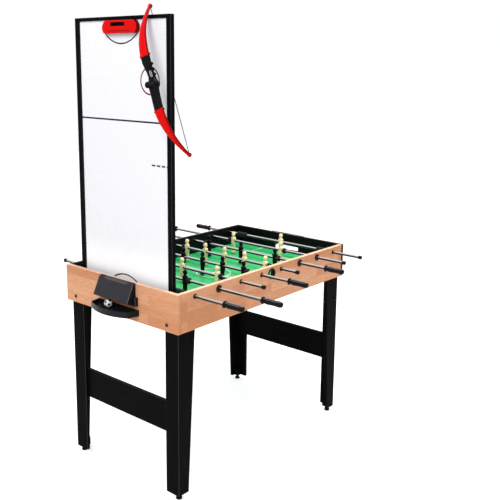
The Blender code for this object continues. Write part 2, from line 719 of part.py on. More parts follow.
def panel_corners(margin):
    """The panel's corners, grown by a margin for the groove that holds it."""
    half = BOARD_WIDTH / 2 - RAIL_FACE + PANEL_GROOVE + margin
    front = BOARD_FRONT + PANEL_RECESS - margin
    low = (front, -half, BOARD_FOOT + RAIL_END_FACE - PANEL_GROOVE - margin)
    high = (front + PANEL_THICKNESS + 2 * margin, half,
            BOARD_TOP - RAIL_END_FACE + PANEL_GROOVE + margin)
    return low, high


def make_slide_goal(name, flip):
    """Red hood on the panel: its mouth faces the board's middle, with a window in front."""
    depth = SLIDE_GOAL_DEPTH
    height = SLIDE_GOAL_HEIGHT
    right = [(across * SLIDE_GOAL_WIDTH / 2, up * height) for across, up in SLIDE_GOAL_SHARES]
    outline = right + [(-across, up) for across, up in reversed(right)]
    back = BOARD_FRONT + PANEL_RECESS - FIT_GAP
    upright = Matrix(((0.0, 0.0, 1.0, 0.0), (1.0, 0.0, 0.0, 0.0), (0.0, 1.0, 0.0, 0.0),
                      (0.0, 0.0, 0.0, 1.0)))
    place = Matrix.Translation((back - depth / 2, 0.0, 0.0)) @ upright
    top = BOARD_TOP - RAIL_END_FACE - SLIDE_GOAL_MARGIN
    raise_up = Matrix.Translation((0.0, SLIDE_GOAL_SHIFT, top - height))
    if flip:
        middle = BOARD_FOOT + BOARD_LENGTH / 2
        raise_up = (Matrix.Translation((0.0, 0.0, middle)) @ Matrix.Diagonal((1, 1, -1, 1))
                    @ Matrix.Translation((0.0, 0.0, -middle)) @ raise_up)
    mesh = outline_mesh(name, outline, depth, place)

    def settle(target):
        bm = bmesh.new()
        bm.from_mesh(target)
        bmesh.ops.transform(bm, matrix=raise_up, verts=bm.verts)
        bmesh.ops.recalc_face_normals(bm, faces=bm.faces)
        bm.to_mesh(target)
        bm.free()

    settle(mesh)
    goal = add_part(name, mesh, "red_plastic")
    bevel(goal, EDGE_BREAK * 1.5)
    cuts = bmesh.new()
    add_box(cuts, (back - depth + SLIDE_GOAL_WALL, -SLIDE_GOAL_MOUTH / 2, -CUT_OVERRUN),
            (back + CUT_OVERRUN, SLIDE_GOAL_MOUTH / 2, height - SLIDE_GOAL_WALL * 2))
    cut_mesh = mesh_from(cuts, name + "_mouth")
    settle(cut_mesh)
    boolean(goal, add_cutter(name + "_mouth", cut_mesh), "DIFFERENCE")
    window = bmesh.new()
    window_top = height - SLIDE_GOAL_WALL * 3
    add_box(window, (back - depth - CUT_OVERRUN, SLIDE_WINDOW_SHIFT - SLIDE_WINDOW_WIDTH / 2,
                     window_top - SLIDE_WINDOW_HEIGHT),
            (back - depth / 2, SLIDE_WINDOW_SHIFT + SLIDE_WINDOW_WIDTH / 2, window_top))
    window_mesh = mesh_from(window, name + "_window")
    settle(window_mesh)
    boolean(goal, add_cutter(name + "_window", window_mesh), "DIFFERENCE")
    return goal


def place_on_bow(part):
    """Bow pieces are made along Z through the middle of the string, then leaned."""
    part.location = BOW_CENTRE
    part.rotation_euler = (-BOW_LEAN, 0.0, 0.0)


def riser_end(way):
    """Where the riser meets its upper (1) or lower (-1) limb."""
    return RISER_SHIFT + way * RISER_LENGTH / 2


def limb_centre(share, way):
    """Middle of a limb, from the riser's end (0) to the tip (1): a parabola."""
    rise = riser_end(way) + share * (way * BOW_CHORD / 2 - riser_end(way))
    return Vector((-BOW_DEPTH * (1 - share ** 2), 0.0, rise))


def limb_ring(share, width, depth, way):
    """One section of a limb, square to the limb's own curve."""
    step = 0.001
    ahead = limb_centre(share + step, way) - limb_centre(share, way)
    across = Vector((0.0, 1.0, 0.0))
    out = ahead.cross(across).normalized()
    centre = limb_centre(share, way)
    return [centre + across * (x * width / 2) + out * (y * depth / 2) for x, y in oval(MAN_SIDES, 0.8)]


def make_limb(name, upward):
    way = 1 if upward else -1
    rings = [limb_ring(share, width * LIMB_WIDTH, depth * LIMB_DEPTH, way)
             for share, width, depth in LIMB_SECTION_SHARES]
    rings[0] = [(x, y, riser_end(way) + way * FIT_GAP) for x, y, z in rings[0]]
    limb = add_part(name, loft_mesh(name, rings), "red_plastic")
    knob = bmesh.new()
    tip = limb_centre(1.0, way)
    bmesh.ops.create_uvsphere(knob, u_segments=ROD_SIDES, v_segments=MAN_SIDES,
                              radius=LIMB_TIP_RADIUS, matrix=Matrix.Translation(tip))
    knob_part = add_cutter(name + "_knob", mesh_from(knob, name + "_knob"))
    place_on_bow(knob_part)
    boolean(limb, knob_part, "UNION")
    low, high = spigot_corners(FIT_GAP)
    zs = sorted((riser_end(way) - way * CUT_OVERRUN, RISER_SHIFT + way * high[2]))
    socket = box_mesh(name + "_socket", (low[0], low[1], zs[0]), (high[0], high[1], zs[1]))
    socket_part = add_cutter(name + "_socket", socket)
    place_on_bow(socket_part)
    boolean(limb, socket_part, "DIFFERENCE")
    place_on_bow(limb)
    shade_round(limb, 50)
    return limb


def spigot_corners(margin):
    """A spigot's corners from the riser's own middle, grown by a margin for the socket."""
    end = RISER_LENGTH / 2
    low = (-BOW_DEPTH - SPIGOT_DEPTH / 2 - margin, -SPIGOT_WIDTH / 2 - margin, end - CUT_OVERRUN)
    high = (-BOW_DEPTH + SPIGOT_DEPTH / 2 + margin, SPIGOT_WIDTH / 2 + margin,
            end + SPIGOT_LENGTH + margin)
    return low, high


def make_riser():
    """Grip, arrow guide and sight pins, with a spigot for each limb."""
    rings = []
    for place, width, depth, shift in RISER_SECTION_SHARES:
        x0 = -BOW_DEPTH + shift * RISER_DEPTH
        rings.append([(x0 + y * depth * RISER_DEPTH / 2, x * width * RISER_WIDTH / 2,
                       RISER_SHIFT + place * RISER_LENGTH) for x, y in oval(MAN_SIDES, 0.7)])
    riser = add_part("bow_riser", loft_mesh("bow_riser", rings), "black_plastic")
    low, high = spigot_corners(0.0)
    spigots = box_mesh("riser_spigots", (low[0], low[1], RISER_SHIFT - high[2]),
                       (high[0], high[1], RISER_SHIFT + high[2]))
    extras = bmesh.new()
    guide_rise = RISER_SHIFT - GUIDE_FALL
    add_cylinder(extras, (-BOW_DEPTH - GUIDE_FRONT, GUIDE_SIDE, guide_rise),
                 (-BOW_DEPTH + GUIDE_BACK, GUIDE_SIDE, guide_rise), GUIDE_RADIUS, ROD_SIDES)
    for share in SIGHT_PIN_SHARES:
        level = RISER_SHIFT + share * RISER_LENGTH
        add_cylinder(extras, (-BOW_DEPTH + SIGHT_PIN_RADIUS, 0.0, level),
                     (-BOW_DEPTH + SIGHT_PIN_RADIUS, -RISER_WIDTH / 2 - SIGHT_PIN_REACH / 2, level),
                     SIGHT_PIN_RADIUS, MAN_SIDES)
    for mesh_name, mesh in (("riser_spigots", spigots),
                            ("riser_fittings", mesh_from(extras, "riser_fittings"))):
        tool = add_cutter(mesh_name, mesh)
        place_on_bow(tool)
        boolean(riser, tool, "UNION")
    place_on_bow(riser)
    shade_round(riser, 50)
    return riser


def make_string():
    """A taut cord between the limb tips, behind the hockey board."""
    curve = bpy.data.curves.new("bowstring", "CURVE")
    curve.dimensions = "3D"
    curve.bevel_depth = STRING_RADIUS
    curve.bevel_resolution = 2
    curve.use_fill_caps = True
    spline = curve.splines.new("POLY")
    reach = BOW_CHORD / 2 - LIMB_TIP_RADIUS - FIT_GAP
    heights = np.linspace(-reach, reach, 5)
    spline.points.add(len(heights) - 1)
    for point, height in zip(spline.points, heights):
        point.co = (0.0, 0.0, float(height), 1.0)
    string = bpy.data.objects.new("bowstring", curve)
    curve.materials.append(MATERIALS["black_cord"])
    PARTS.objects.link(string)
    place_on_bow(string)
    return string


make_end_apron("near_end_apron", -1)
make_end_apron("far_end_apron", 1)
make_long_apron("front_apron", -1)
make_long_apron("back_apron", 1)
make_playfield()
for end_name, end in (("near", -1), ("far", 1)):
    for side_name, side in (("front", -1), ("back", 1)):
        make_leg(f"leg_{end_name}_{side_name}", end, side)
    make_stretcher(f"{end_name}_stretcher", end)
    make_goal_box(f"{end_name}_goal_box", end)
    make_ball_tray(f"{end_name}_ball_tray", end)
make_ball()
for rod_index, men_count in enumerate(MEN_PER_ROD):
    men_along = men_places(men_count)
    steel = make_rod(rod_index, men_along)
    make_men(rod_index, steel, men_along)
    make_cap(rod_index)
    make_handle(rod_index)
make_hockey_frame()
panel_low, panel_high = panel_corners(0.0)
add_part("hockey_panel", box_mesh("hockey_panel", panel_low, panel_high), "white_panel")
make_slide_goal("hockey_goal_top", False)
make_slide_goal("hockey_goal_bottom", True)
make_riser()
make_limb("bow_upper_limb", True)
make_limb("bow_lower_limb", False)
make_string()
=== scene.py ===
"""Looks of the multi game table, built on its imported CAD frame."""
import math

import bmesh
import bpy
from mathutils import Matrix, Vector


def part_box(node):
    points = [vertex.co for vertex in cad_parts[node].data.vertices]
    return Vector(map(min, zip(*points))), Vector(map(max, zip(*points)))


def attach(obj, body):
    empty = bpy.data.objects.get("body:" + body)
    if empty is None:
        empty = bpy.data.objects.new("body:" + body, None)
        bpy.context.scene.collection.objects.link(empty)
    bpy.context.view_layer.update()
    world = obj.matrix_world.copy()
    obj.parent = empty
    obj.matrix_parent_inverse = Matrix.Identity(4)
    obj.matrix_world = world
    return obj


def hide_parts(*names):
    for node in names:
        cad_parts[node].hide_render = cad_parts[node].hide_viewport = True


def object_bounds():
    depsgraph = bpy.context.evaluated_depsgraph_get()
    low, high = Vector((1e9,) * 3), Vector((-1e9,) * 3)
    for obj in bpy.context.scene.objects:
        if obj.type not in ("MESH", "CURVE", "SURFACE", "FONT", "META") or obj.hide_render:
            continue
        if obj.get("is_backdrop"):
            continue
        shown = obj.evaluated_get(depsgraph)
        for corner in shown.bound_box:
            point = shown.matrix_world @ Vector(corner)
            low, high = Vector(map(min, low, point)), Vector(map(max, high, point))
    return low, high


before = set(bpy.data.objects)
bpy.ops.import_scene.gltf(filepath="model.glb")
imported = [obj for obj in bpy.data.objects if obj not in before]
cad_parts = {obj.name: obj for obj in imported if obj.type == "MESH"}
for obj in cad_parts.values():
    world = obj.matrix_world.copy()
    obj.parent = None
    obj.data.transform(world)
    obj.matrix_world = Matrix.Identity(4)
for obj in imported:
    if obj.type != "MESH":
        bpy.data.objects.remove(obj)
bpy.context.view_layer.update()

# The camera stands off the table's near front corner, a little above the
# middle of the hockey board, and looks slightly down with a longish lens. It
# has a small upright shift, as the photograph is cut from a taller picture.
CAMERA_PLACE = Vector((-2.217, -2.029, 1.531))
CAMERA_AZIMUTH = math.radians(-50.357)
CAMERA_PITCH = math.radians(10.88)
CAMERA_ROLL = math.radians(0.735)
CAMERA_LENS = 53.897
CAMERA_SHIFT = -0.0763

forward = Vector((-math.sin(CAMERA_AZIMUTH) * math.cos(CAMERA_PITCH),
                  math.cos(CAMERA_AZIMUTH) * math.cos(CAMERA_PITCH), -math.sin(CAMERA_PITCH)))
level_right = Vector((math.cos(CAMERA_AZIMUTH), math.sin(CAMERA_AZIMUTH), 0.0))
level_up = level_right.cross(forward)
camera_right = level_right * math.cos(CAMERA_ROLL) + level_up * math.sin(CAMERA_ROLL)
camera_up = level_up * math.cos(CAMERA_ROLL) - level_right * math.sin(CAMERA_ROLL)


def new_object(name, data):
    """An object with its data, put into the scene."""
    made = bpy.data.objects.new(name, data)
    bpy.context.scene.collection.objects.link(made)
    return made


camera = new_object("camera", bpy.data.cameras.new("camera"))
camera.data.lens = CAMERA_LENS
camera.data.shift_y = CAMERA_SHIFT
turn = Matrix((camera_right, camera_up, -forward)).transposed()
camera.matrix_world = Matrix.Translation(CAMERA_PLACE) @ turn.to_4x4()
bpy.context.scene.camera = camera

# The table's four aprons are chipboard covered in printed beech foil outside
# and on the top edge, and in black foil inside. They are screwed to each other
# at the corners, the end boards running the full width.
OUTER_X = 0.51
OUTER_Y = 0.305
BOARD_THICKNESS = 0.015
TABLE_TOP = 0.778
ROD_HEIGHT = 0.756
WRAP_LINE = 0.0036
FOIL_LAP = 0.0005
FOIL_CLEARANCE = 0.0001
TOP_SKIN = 0.0013
TOP_HIGHLIGHT = 0.7
APRON_EDGE_TINT = (0.45, 0.0016)
APRON_GLOSS = 0.08
APRON_ROUGHNESS = (0.34, 0.5)
APRON_RELIEF = (0.18, 0.0004)
STAVE_LENGTH = 0.31
STAVE_HEIGHT = 0.0355
STAVE_JOINT = 0.00025
STAVE_CONTRAST = 0.75
FIGURE_CONTRAST = 0.7
STREAK_RANGE = (1.5, -0.9)
STREAK_STRENGTH = 0.8
BEECH_FINENESS = 6.0
FIGURE_STRETCH = (1.0, 9.0, 9.0)
STREAK_STRETCH = (5.0, 190.0, 190.0)
PORE_LEVEL = 0.38
EDGE_TINT_PATCHES = 60.0
EDGE_TINT_LEAST = 0.35
MASK_OUT = (0.0, 0.0, 0.0, 1.0)
MASK_IN = (1.0, 1.0, 1.0, 1.0)
BEECH_PALE = (0.86, 0.48, 0.29, 1.0)
BEECH_DARK = (0.60, 0.265, 0.132, 1.0)
BEECH_STREAK = (0.36, 0.135, 0.058, 1.0)
BEECH_EDGE = (0.88, 0.58, 0.40, 1.0)
BLACK_FOIL = (0.003, 0.0025, 0.0035, 1.0)


def feed(tree, socket, term):
    """Joins a socket to another socket, or gives it a plain value."""
    if isinstance(term, bpy.types.NodeSocket):
        tree.links.new(term, socket)
    else:
        socket.default_value = term


def maths(tree, operation, *terms):
    made = tree.nodes.new("ShaderNodeMath")
    made.operation = operation
    for socket, term in zip(made.inputs, terms):
        feed(tree, socket, term)
    return made.outputs[0]


def mix_colour(tree, share, first, second):
    made = tree.nodes.new("ShaderNodeMix")
    made.data_type = "RGBA"
    feed(tree, made.inputs[0], share)
    feed(tree, made.inputs[6], first)
    feed(tree, made.inputs[7], second)
    return made.outputs[2]


def spread(tree, share, low, high):
    """Turns a 0 to 1 share into a value between two limits."""
    made = tree.nodes.new("ShaderNodeMapRange")
    feed(tree, made.inputs["Value"], share)
    made.inputs["To Min"].default_value = low
    made.inputs["To Max"].default_value = high
    return made.outputs["Result"]


def piece_place(tree):
    """The point on the piece, in the metres it was drawn in."""
    return tree.nodes.new("ShaderNodeTexCoord").outputs["Object"]


def along_axes(tree, place):
    made = tree.nodes.new("ShaderNodeSeparateXYZ")
    feed(tree, made.inputs[0], place)
    return made.outputs


def distance(tree, first, second):
    """How far two steps at right angles reach together."""
    squares = [maths(tree, "MULTIPLY", step, step) for step in (first, second)]
    return maths(tree, "SQRT", maths(tree, "ADD", *squares))


def joined(tree, *terms):
    """A point whose first two or three places are the terms."""
    made = tree.nodes.new("ShaderNodeCombineXYZ")
    for socket, term in zip(made.inputs, terms):
        feed(tree, socket, term)
    return made.outputs[0]


def vector_maths(tree, operation, place, term=None, gives="Vector"):
    made = tree.nodes.new("ShaderNodeVectorMath")
    made.operation = operation
    feed(tree, made.inputs[0], place)
    if term is not None:
        made.inputs[1].default_value = term
    return made.outputs[gives]


def mottle(tree, place, scale, detail=3.0):
    made = tree.nodes.new("ShaderNodeTexNoise")
    feed(tree, made.inputs["Vector"], place)
    feed(tree, made.inputs["Scale"], scale)
    made.inputs["Detail"].default_value = detail
    return made.outputs["Fac"]


def bumped(tree, height, strength, distance):
    made = tree.nodes.new("ShaderNodeBump")
    made.inputs["Strength"].default_value = strength
    made.inputs["Distance"].default_value = distance
    feed(tree, made.inputs["Height"], height)
    return made.outputs["Normal"]


def new_material(name):
    """A material and its Principled shader, ready to be fed."""
    material = bpy.data.materials.new(name)
    material.use_nodes = True
    return material, material.node_tree, material.node_tree.nodes["Principled BSDF"]


def dress(shader, colour, roughness, height, relief, gloss=None):
    """Feeds a shader; its relief is a strength and a depth in metres."""
    tree = shader.id_data
    feed(tree, shader.inputs["Base Color"], colour)
    feed(tree, shader.inputs["Roughness"], roughness)
    feed(tree, shader.inputs["Normal"], bumped(tree, height, *relief))
    if gloss is not None:
        shader.inputs["Specular IOR Level"].default_value = gloss


def new_group(name, takes, gives):
    """An empty shader group, its input node's sockets and its output node."""
    group = bpy.data.node_groups.new(name, "ShaderNodeTree")
    for in_out, sockets in (("INPUT", takes), ("OUTPUT", gives)):
        for label, kind in sockets.items():
            group.interface.new_socket(name=label, in_out=in_out, socket_type="NodeSocket" + kind)
    return group, group.nodes.new("NodeGroupInput").outputs, group.nodes.new("NodeGroupOutput")


def use_group(tree, group, **terms):
    made = tree.nodes.new("ShaderNodeGroup")
    made.node_tree = group
    for label, term in terms.items():
        feed(tree, made.inputs[label], term)
    return made.outputs


def paint(material, *nodes):
    """Gives CAD nodes a material in every slot they have."""
    for name in nodes:
        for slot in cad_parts[name].material_slots:
            slot.material = material


def board_grain_group():
    """Long wood figure: Place runs with its X along the grain, in metres."""
    group, takes, gives = new_group("board grain", {"Place": "Vector", "Fineness": "Float"},
                                    {"Figure": "Float", "Streaks": "Float", "Height": "Float"})
    slow = vector_maths(group, "MULTIPLY", takes["Place"], FIGURE_STRETCH)
    figure = mottle(group, slow, takes["Fineness"], detail=4.0)
    fast = vector_maths(group, "MULTIPLY", takes["Place"], STREAK_STRETCH)
    streaks = mottle(group, fast, takes["Fineness"], detail=2.0)
    pores = maths(group, "LESS_THAN", streaks, PORE_LEVEL)
    feed(group, gives.inputs["Figure"], figure)
    feed(group, gives.inputs["Streaks"], streaks)
    feed(group, gives.inputs["Height"], maths(group, "SUBTRACT", streaks, pores))
    return group


def board_edges_group():
    """A mask along the edges of a board whose corners are Low and High, uneven along them."""
    group, takes, gives = new_group(
        "board edges", {"Place": "Vector", "Low": "Vector", "High": "Vector", "Width": "Float"},
        {"Edge": "Float"})
    point = along_axes(group, takes["Place"])
    low = along_axes(group, takes["Low"])
    high = along_axes(group, takes["High"])
    depth = [maths(group, "MINIMUM", maths(group, "SUBTRACT", point[i], low[i]),
                   maths(group, "SUBTRACT", high[i], point[i])) for i in range(3)]
    nearer = maths(group, "MINIMUM", depth[0], depth[1])
    further = maths(group, "MAXIMUM", depth[0], depth[1])
    second = maths(group, "MAXIMUM", nearer, maths(group, "MINIMUM", further, depth[2]))
    share = maths(group, "SUBTRACT", 1.0, maths(group, "DIVIDE", second, takes["Width"]))
    uneven = spread(group, mottle(group, takes["Place"], EDGE_TINT_PATCHES), EDGE_TINT_LEAST, 1.0)
    feed(group, gives.inputs["Edge"], maths(group, "MULTIPLY", maths(group, "MAXIMUM", share, 0.0), uneven))
    return group


BOARD_GRAIN = board_grain_group()
BOARD_EDGES = board_edges_group()


def edge_tinted(tree, node, colour, tint, strength, width):
    """Mixes a tint into the colour of a CAD node's board along its edges."""
    low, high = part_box(node)
    edges = use_group(tree, BOARD_EDGES, Place=piece_place(tree), Low=low, High=high, Width=width)
    return mix_colour(tree, maths(tree, "MULTIPLY", edges["Edge"], strength), colour, tint)


def beech_foil(name, node, long_axis):
    """Beech print outside, black foil inside, and a top edge that is either bright
    beech all over or, on the back and far boards, black up to a thin beech line.
    The beech on top is painted lighter, a painted highlight from the light above."""
    material, tree, shader = new_material(name)
    point = along_axes(tree, piece_place(tree))
    across_axis = 1 - long_axis
    outward = maths(tree, "ABSOLUTE", point[across_axis])
    run = joined(tree, point[long_axis], point[2])
    staves = tree.nodes.new("ShaderNodeTexBrick")
    feed(tree, staves.inputs["Vector"], run)
    staves.inputs["Scale"].default_value = 1.0
    staves.inputs["Brick Width"].default_value = STAVE_LENGTH
    staves.inputs["Row Height"].default_value = STAVE_HEIGHT
    staves.inputs["Mortar Size"].default_value = STAVE_JOINT
    staves.inputs["Color1"].default_value = MASK_OUT
    staves.inputs["Color2"].default_value = MASK_IN
    staves.inputs["Mortar"].default_value = MASK_IN
    grain = use_group(tree, BOARD_GRAIN, Place=run, Fineness=BEECH_FINENESS)
    stave_tone = maths(tree, "MULTIPLY", staves.outputs["Color"], STAVE_CONTRAST)
    tone = maths(tree, "ADD", stave_tone, maths(tree, "MULTIPLY", grain["Figure"], FIGURE_CONTRAST))
    body = mix_colour(tree, tone, BEECH_PALE, BEECH_DARK)
    streaks = maths(tree, "MULTIPLY", spread(tree, grain["Streaks"], *STREAK_RANGE), STREAK_STRENGTH)
    body = mix_colour(tree, maths(tree, "MAXIMUM", streaks, 0.0), body, BEECH_STREAK)
    # The top is painted lighter: a painted highlight from the light above.
    on_top = maths(tree, "GREATER_THAN", point[2], TABLE_TOP - TOP_SKIN)
    body = mix_colour(tree, maths(tree, "MULTIPLY", on_top, TOP_HIGHLIGHT), body, BEECH_EDGE)
    body = edge_tinted(tree, node, body, BEECH_EDGE, *APRON_EDGE_TINT)
    outer_reach = (OUTER_X, OUTER_Y)[across_axis]
    wrapped = node in ("back_apron", "far_end_apron")
    foil_edge = outer_reach - (WRAP_LINE if wrapped else BOARD_THICKNESS - FOIL_LAP)
    inside = maths(tree, "LESS_THAN", outward, foil_edge)
    proud = maths(tree, "GREATER_THAN", outward, outer_reach + FOIL_CLEARANCE)
    body = mix_colour(tree, maths(tree, "MAXIMUM", inside, proud), body, BLACK_FOIL)
    roughness = spread(tree, grain["Streaks"], *APRON_ROUGHNESS)
    dress(shader, body, roughness, grain["Height"], APRON_RELIEF, APRON_GLOSS)
    return material


LONG_AXIS = {"front_apron": 0, "back_apron": 0, "near_end_apron": 1, "far_end_apron": 1}
for apron, long_axis in LONG_AXIS.items():
    paint(beech_foil("beech foil, " + apron.replace("_", " "), apron, long_axis), apron)

# Each rod runs in a flanged black nylon bearing pressed through the apron,
# three of them with a larger flange than the rest. Rings of the same nylon
# line the hole in the middle of each long side, where the ball is served.
ROD_COUNT = 8
ROD_PITCH = 0.122
ROD_RADIUS = 0.0058
BEARING_BORE = 0.0062
# A bearing's radius and flange; three rods have the larger kind
SMALL_BEARING = (0.0092, 0.0013)
LARGE_BEARING = (0.0142, 0.0044)
LARGE_BEARING_RODS = (1, 5, 6)
INNER_FLANGE = 0.0003
INNER_FLANGE_SHARE = 0.93
SLEEVE_WALL = 0.0009
FLANGE_ROUNDING_SHARE = 0.45
SERVE_HEIGHT = 0.749
SERVE_BORE = 0.016
SERVE_RIM = 0.0214
SERVE_FLANGE = 0.0036
SERVE_INNER_FLANGE = 0.001
NYLON_BLACK = (0.004, 0.004, 0.005, 1.0)
NYLON_SHEEN = (0.012, 0.0115, 0.014, 1.0)
SKIN_PATCHES = 24.0
SKIN_RELIEF = 0.35
SIDES = (("front", -1), ("back", 1))


def moulded_skin_group():
    """Fine spark-eroded skin of a plastic moulding."""
    group, takes, gives = new_group("moulded skin", {"Place": "Vector", "Fineness": "Float"},
                                    {"Shade": "Float", "Gloss": "Float", "Height": "Float"})
    broad = mottle(group, takes["Place"], SKIN_PATCHES, detail=2.0)
    fine = mottle(group, takes["Place"], takes["Fineness"], detail=3.0)
    feed(group, gives.inputs["Shade"], maths(group, "MULTIPLY", maths(group, "ADD", broad, fine), 0.5))
    feed(group, gives.inputs["Gloss"], broad)
    feed(group, gives.inputs["Height"], fine)
    return group


MOULDED_SKIN = moulded_skin_group()


def plastic(name, dull, bright, smooth, rough, grit=(900.0, 0.00008), shine=0.12):
    """Moulded plastic between two tones and two roughnesses. The grit of its skin
    is a fineness and a depth in metres."""
    material, tree, shader = new_material(name)
    fineness, depth = grit
    skin = use_group(tree, MOULDED_SKIN, Place=piece_place(tree), Fineness=fineness)
    tone = mix_colour(tree, skin["Shade"], dull, bright)
    roughness = spread(tree, skin["Gloss"], smooth, rough)
    dress(shader, tone, roughness, skin["Height"], (SKIN_RELIEF, depth), shine)
    return material


def rounded(obj, degrees=40):
    obj.data.shade_smooth()
    obj.data.set_sharp_from_angle(angle=math.radians(degrees))
    return obj


def mesh_of(name, shape, material):
    bmesh.ops.recalc_face_normals(shape, faces=shape.faces)
    mesh = bpy.data.meshes.new(name)
    shape.to_mesh(mesh)
    shape.free()
    mesh.materials.append(material)
    return mesh


def add_piece(name, shape, material, body):
    """One visible piece from finished bmesh geometry, riding on its body."""
    piece = new_object(name, mesh_of(name, shape, material))
    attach(piece, body)
    return rounded(piece)


def skin_rings(shape, rings, loop=False):
    """Skins rings of points; the ends are capped unless the rings form a loop."""
    rows = [[shape.verts.new(point) for point in ring] for ring in rings]
    pairs = list(zip(rows, rows[1:]))
    if loop:
        pairs.append((rows[-1], rows[0]))
    for lower, upper in pairs:
        for i in range(len(lower)):
            j = (i + 1) % len(lower)
            shape.faces.new((lower[i], lower[j], upper[j], upper[i]))
    if not loop:
        shape.faces.new(list(reversed(rows[0])))
        shape.faces.new(rows[-1])


def turned_rings(profile, axis, centre, sides):
    """Rings of a turned shape: profile rows are (radius, place along the axis)."""
    along = Vector(axis).normalized()
    first = along.orthogonal().normalized()
    second = along.cross(first)
    rings = []
    for radius, place in profile:
        middle = Vector(centre) + along * place
        rings.append([middle + (first * math.cos(2 * math.pi * k / sides)
                                + second * math.sin(2 * math.pi * k / sides)) * radius
                      for k in range(sides)])
    return rings


def turned_piece(name, profile, axis, centre, material, body, sides, hollow=False):
    """A piece turned round its axis; a hollow one's profile closes on itself."""
    shape = bmesh.new()
    skin_rings(shape, turned_rings(profile, axis, centre, sides), loop=hollow)
    return add_piece(name, shape, material, body)


BEARING_NYLON = plastic("bearing nylon", NYLON_BLACK, NYLON_SHEEN, smooth=0.3, rough=0.45)


def rod_x(index):
    return (index - (ROD_COUNT - 1) / 2) * ROD_PITCH


def ring_profile(bore, rim, flange, inner_flange, wall):
    """A flanged sleeve through a board whose faces are at 0 and -wall."""
    round_off = flange * FLANGE_ROUNDING_SHARE
    sleeve = bore + SLEEVE_WALL
    inner_rim = rim * INNER_FLANGE_SHARE
    return [(bore, flange - round_off / 2), (bore + round_off / 2, flange), (rim - round_off, flange),
            (rim - round_off / 3, flange - round_off / 3), (rim, flange - round_off), (rim, 0.0),
            (sleeve, 0.0), (sleeve, -wall), (inner_rim, -wall),
            (inner_rim, -wall - inner_flange), (bore, -wall - inner_flange)]


for label, side in SIDES:
    for index in range(ROD_COUNT):
        rim, proud = LARGE_BEARING if index in LARGE_BEARING_RODS else SMALL_BEARING
        profile = ring_profile(BEARING_BORE, rim, proud, INNER_FLANGE, BOARD_THICKNESS)
        centre = (rod_x(index), side * OUTER_Y, ROD_HEIGHT)
        turned_piece(f"bearing_{label}_{index + 1}", profile, (0, side, 0), centre,
                     BEARING_NYLON, "table", sides=32, hollow=True)
    profile = ring_profile(SERVE_BORE, SERVE_RIM, SERVE_FLANGE, SERVE_INNER_FLANGE, BOARD_THICKNESS)
    centre = (0.0, side * OUTER_Y, SERVE_HEIGHT)
    turned_piece(f"serve_ring_{label}", profile, (0, side, 0), centre,
                 BEARING_NYLON, "table", sides=48, hollow=True)

# The end boards are held to the legs by two blackened steel bolts each, with
# domed heads and a sunk socket for the key.
BOLT_REACH = 0.25
BOLT_HEIGHT = 0.66
# Rows are radius and place along the axis, in millimetres
BOLT_ROWS = ((2.6, 1.26), (2.6, 3.6), (3.74, 3.312), (5.78, 2.232), (6.8, 0.72), (6.8, -0.5))
MILLIMETRE = 0.001
BOLT_DULL = (0.02, 0.018, 0.018, 1.0)
BOLT_BRIGHT = (0.05, 0.045, 0.045, 1.0)
BOLT_BLACK = plastic("blackened bolt steel", BOLT_DULL, BOLT_BRIGHT, smooth=0.28, rough=0.4)
ENDS = (("near", -1), ("far", 1))
HANDS = (("left", 1), ("right", -1))


def in_metres(rows):
    return [(radius * MILLIMETRE, place * MILLIMETRE) for radius, place in rows]


for label, end in ENDS:
    for hand, side in HANDS:
        centre = (end * OUTER_X, side * BOLT_REACH, BOLT_HEIGHT)
        turned_piece(f"bolt_{label}_{hand}", in_metres(BOLT_ROWS), (end, 0, 0), centre,
                     BOLT_BLACK, "table", sides=24)

# The playing field is a printed board let in between the aprons. Its green
# is plain, with white lines: a centre circle and spot, a halfway line, and a
# penalty box at each end.
FIELD_GREEN = (0.046, 0.55, 0.185, 1.0)
FIELD_DEEP = (0.028, 0.40, 0.115, 1.0)
LINE_WHITE = (0.80, 0.90, 0.83, 1.0)
LINE_HALF_WIDTH = 0.0017
CIRCLE_RADIUS = 0.07
SPOT_RADIUS = 0.0055
BOX_HALF_WIDTH = 0.125
BOX_START = 0.402
FIELD_GLOSS = 0.1
FIELD_ROUGHNESS = (0.3, 0.42)
FIELD_RELIEF = (0.12, 0.0001)


def field_print():
    material, tree, shader = new_material("printed field")
    place = piece_place(tree)
    x, y, _ = along_axes(tree, place)
    far_x = maths(tree, "ABSOLUTE", x)
    far_y = maths(tree, "ABSOLUTE", y)
    radius = distance(tree, x, y)
    circle = maths(tree, "COMPARE", radius, CIRCLE_RADIUS, LINE_HALF_WIDTH)
    spot = maths(tree, "LESS_THAN", radius, SPOT_RADIUS)
    halfway = maths(tree, "LESS_THAN", far_x, LINE_HALF_WIDTH)

    def within(grow):
        narrow = maths(tree, "LESS_THAN", far_y, BOX_HALF_WIDTH + grow)
        return maths(tree, "MULTIPLY", narrow, maths(tree, "GREATER_THAN", far_x, BOX_START - grow))

    box = maths(tree, "SUBTRACT", within(LINE_HALF_WIDTH), within(-LINE_HALF_WIDTH))
    lines = maths(tree, "MAXIMUM", maths(tree, "MAXIMUM", circle, spot),
                  maths(tree, "MAXIMUM", halfway, box))
    tone = mottle(tree, place, scale=7.0, detail=5.0)
    green = mix_colour(tree, tone, FIELD_GREEN, FIELD_DEEP)
    roughness = spread(tree, mottle(tree, place, scale=40.0), *FIELD_ROUGHNESS)
    skin = mottle(tree, place, scale=1500.0, detail=1.0)
    dress(shader, mix_colour(tree, lines, green, LINE_WHITE), roughness, skin, FIELD_RELIEF, FIELD_GLOSS)
    return material


paint(field_print(), "playfield")
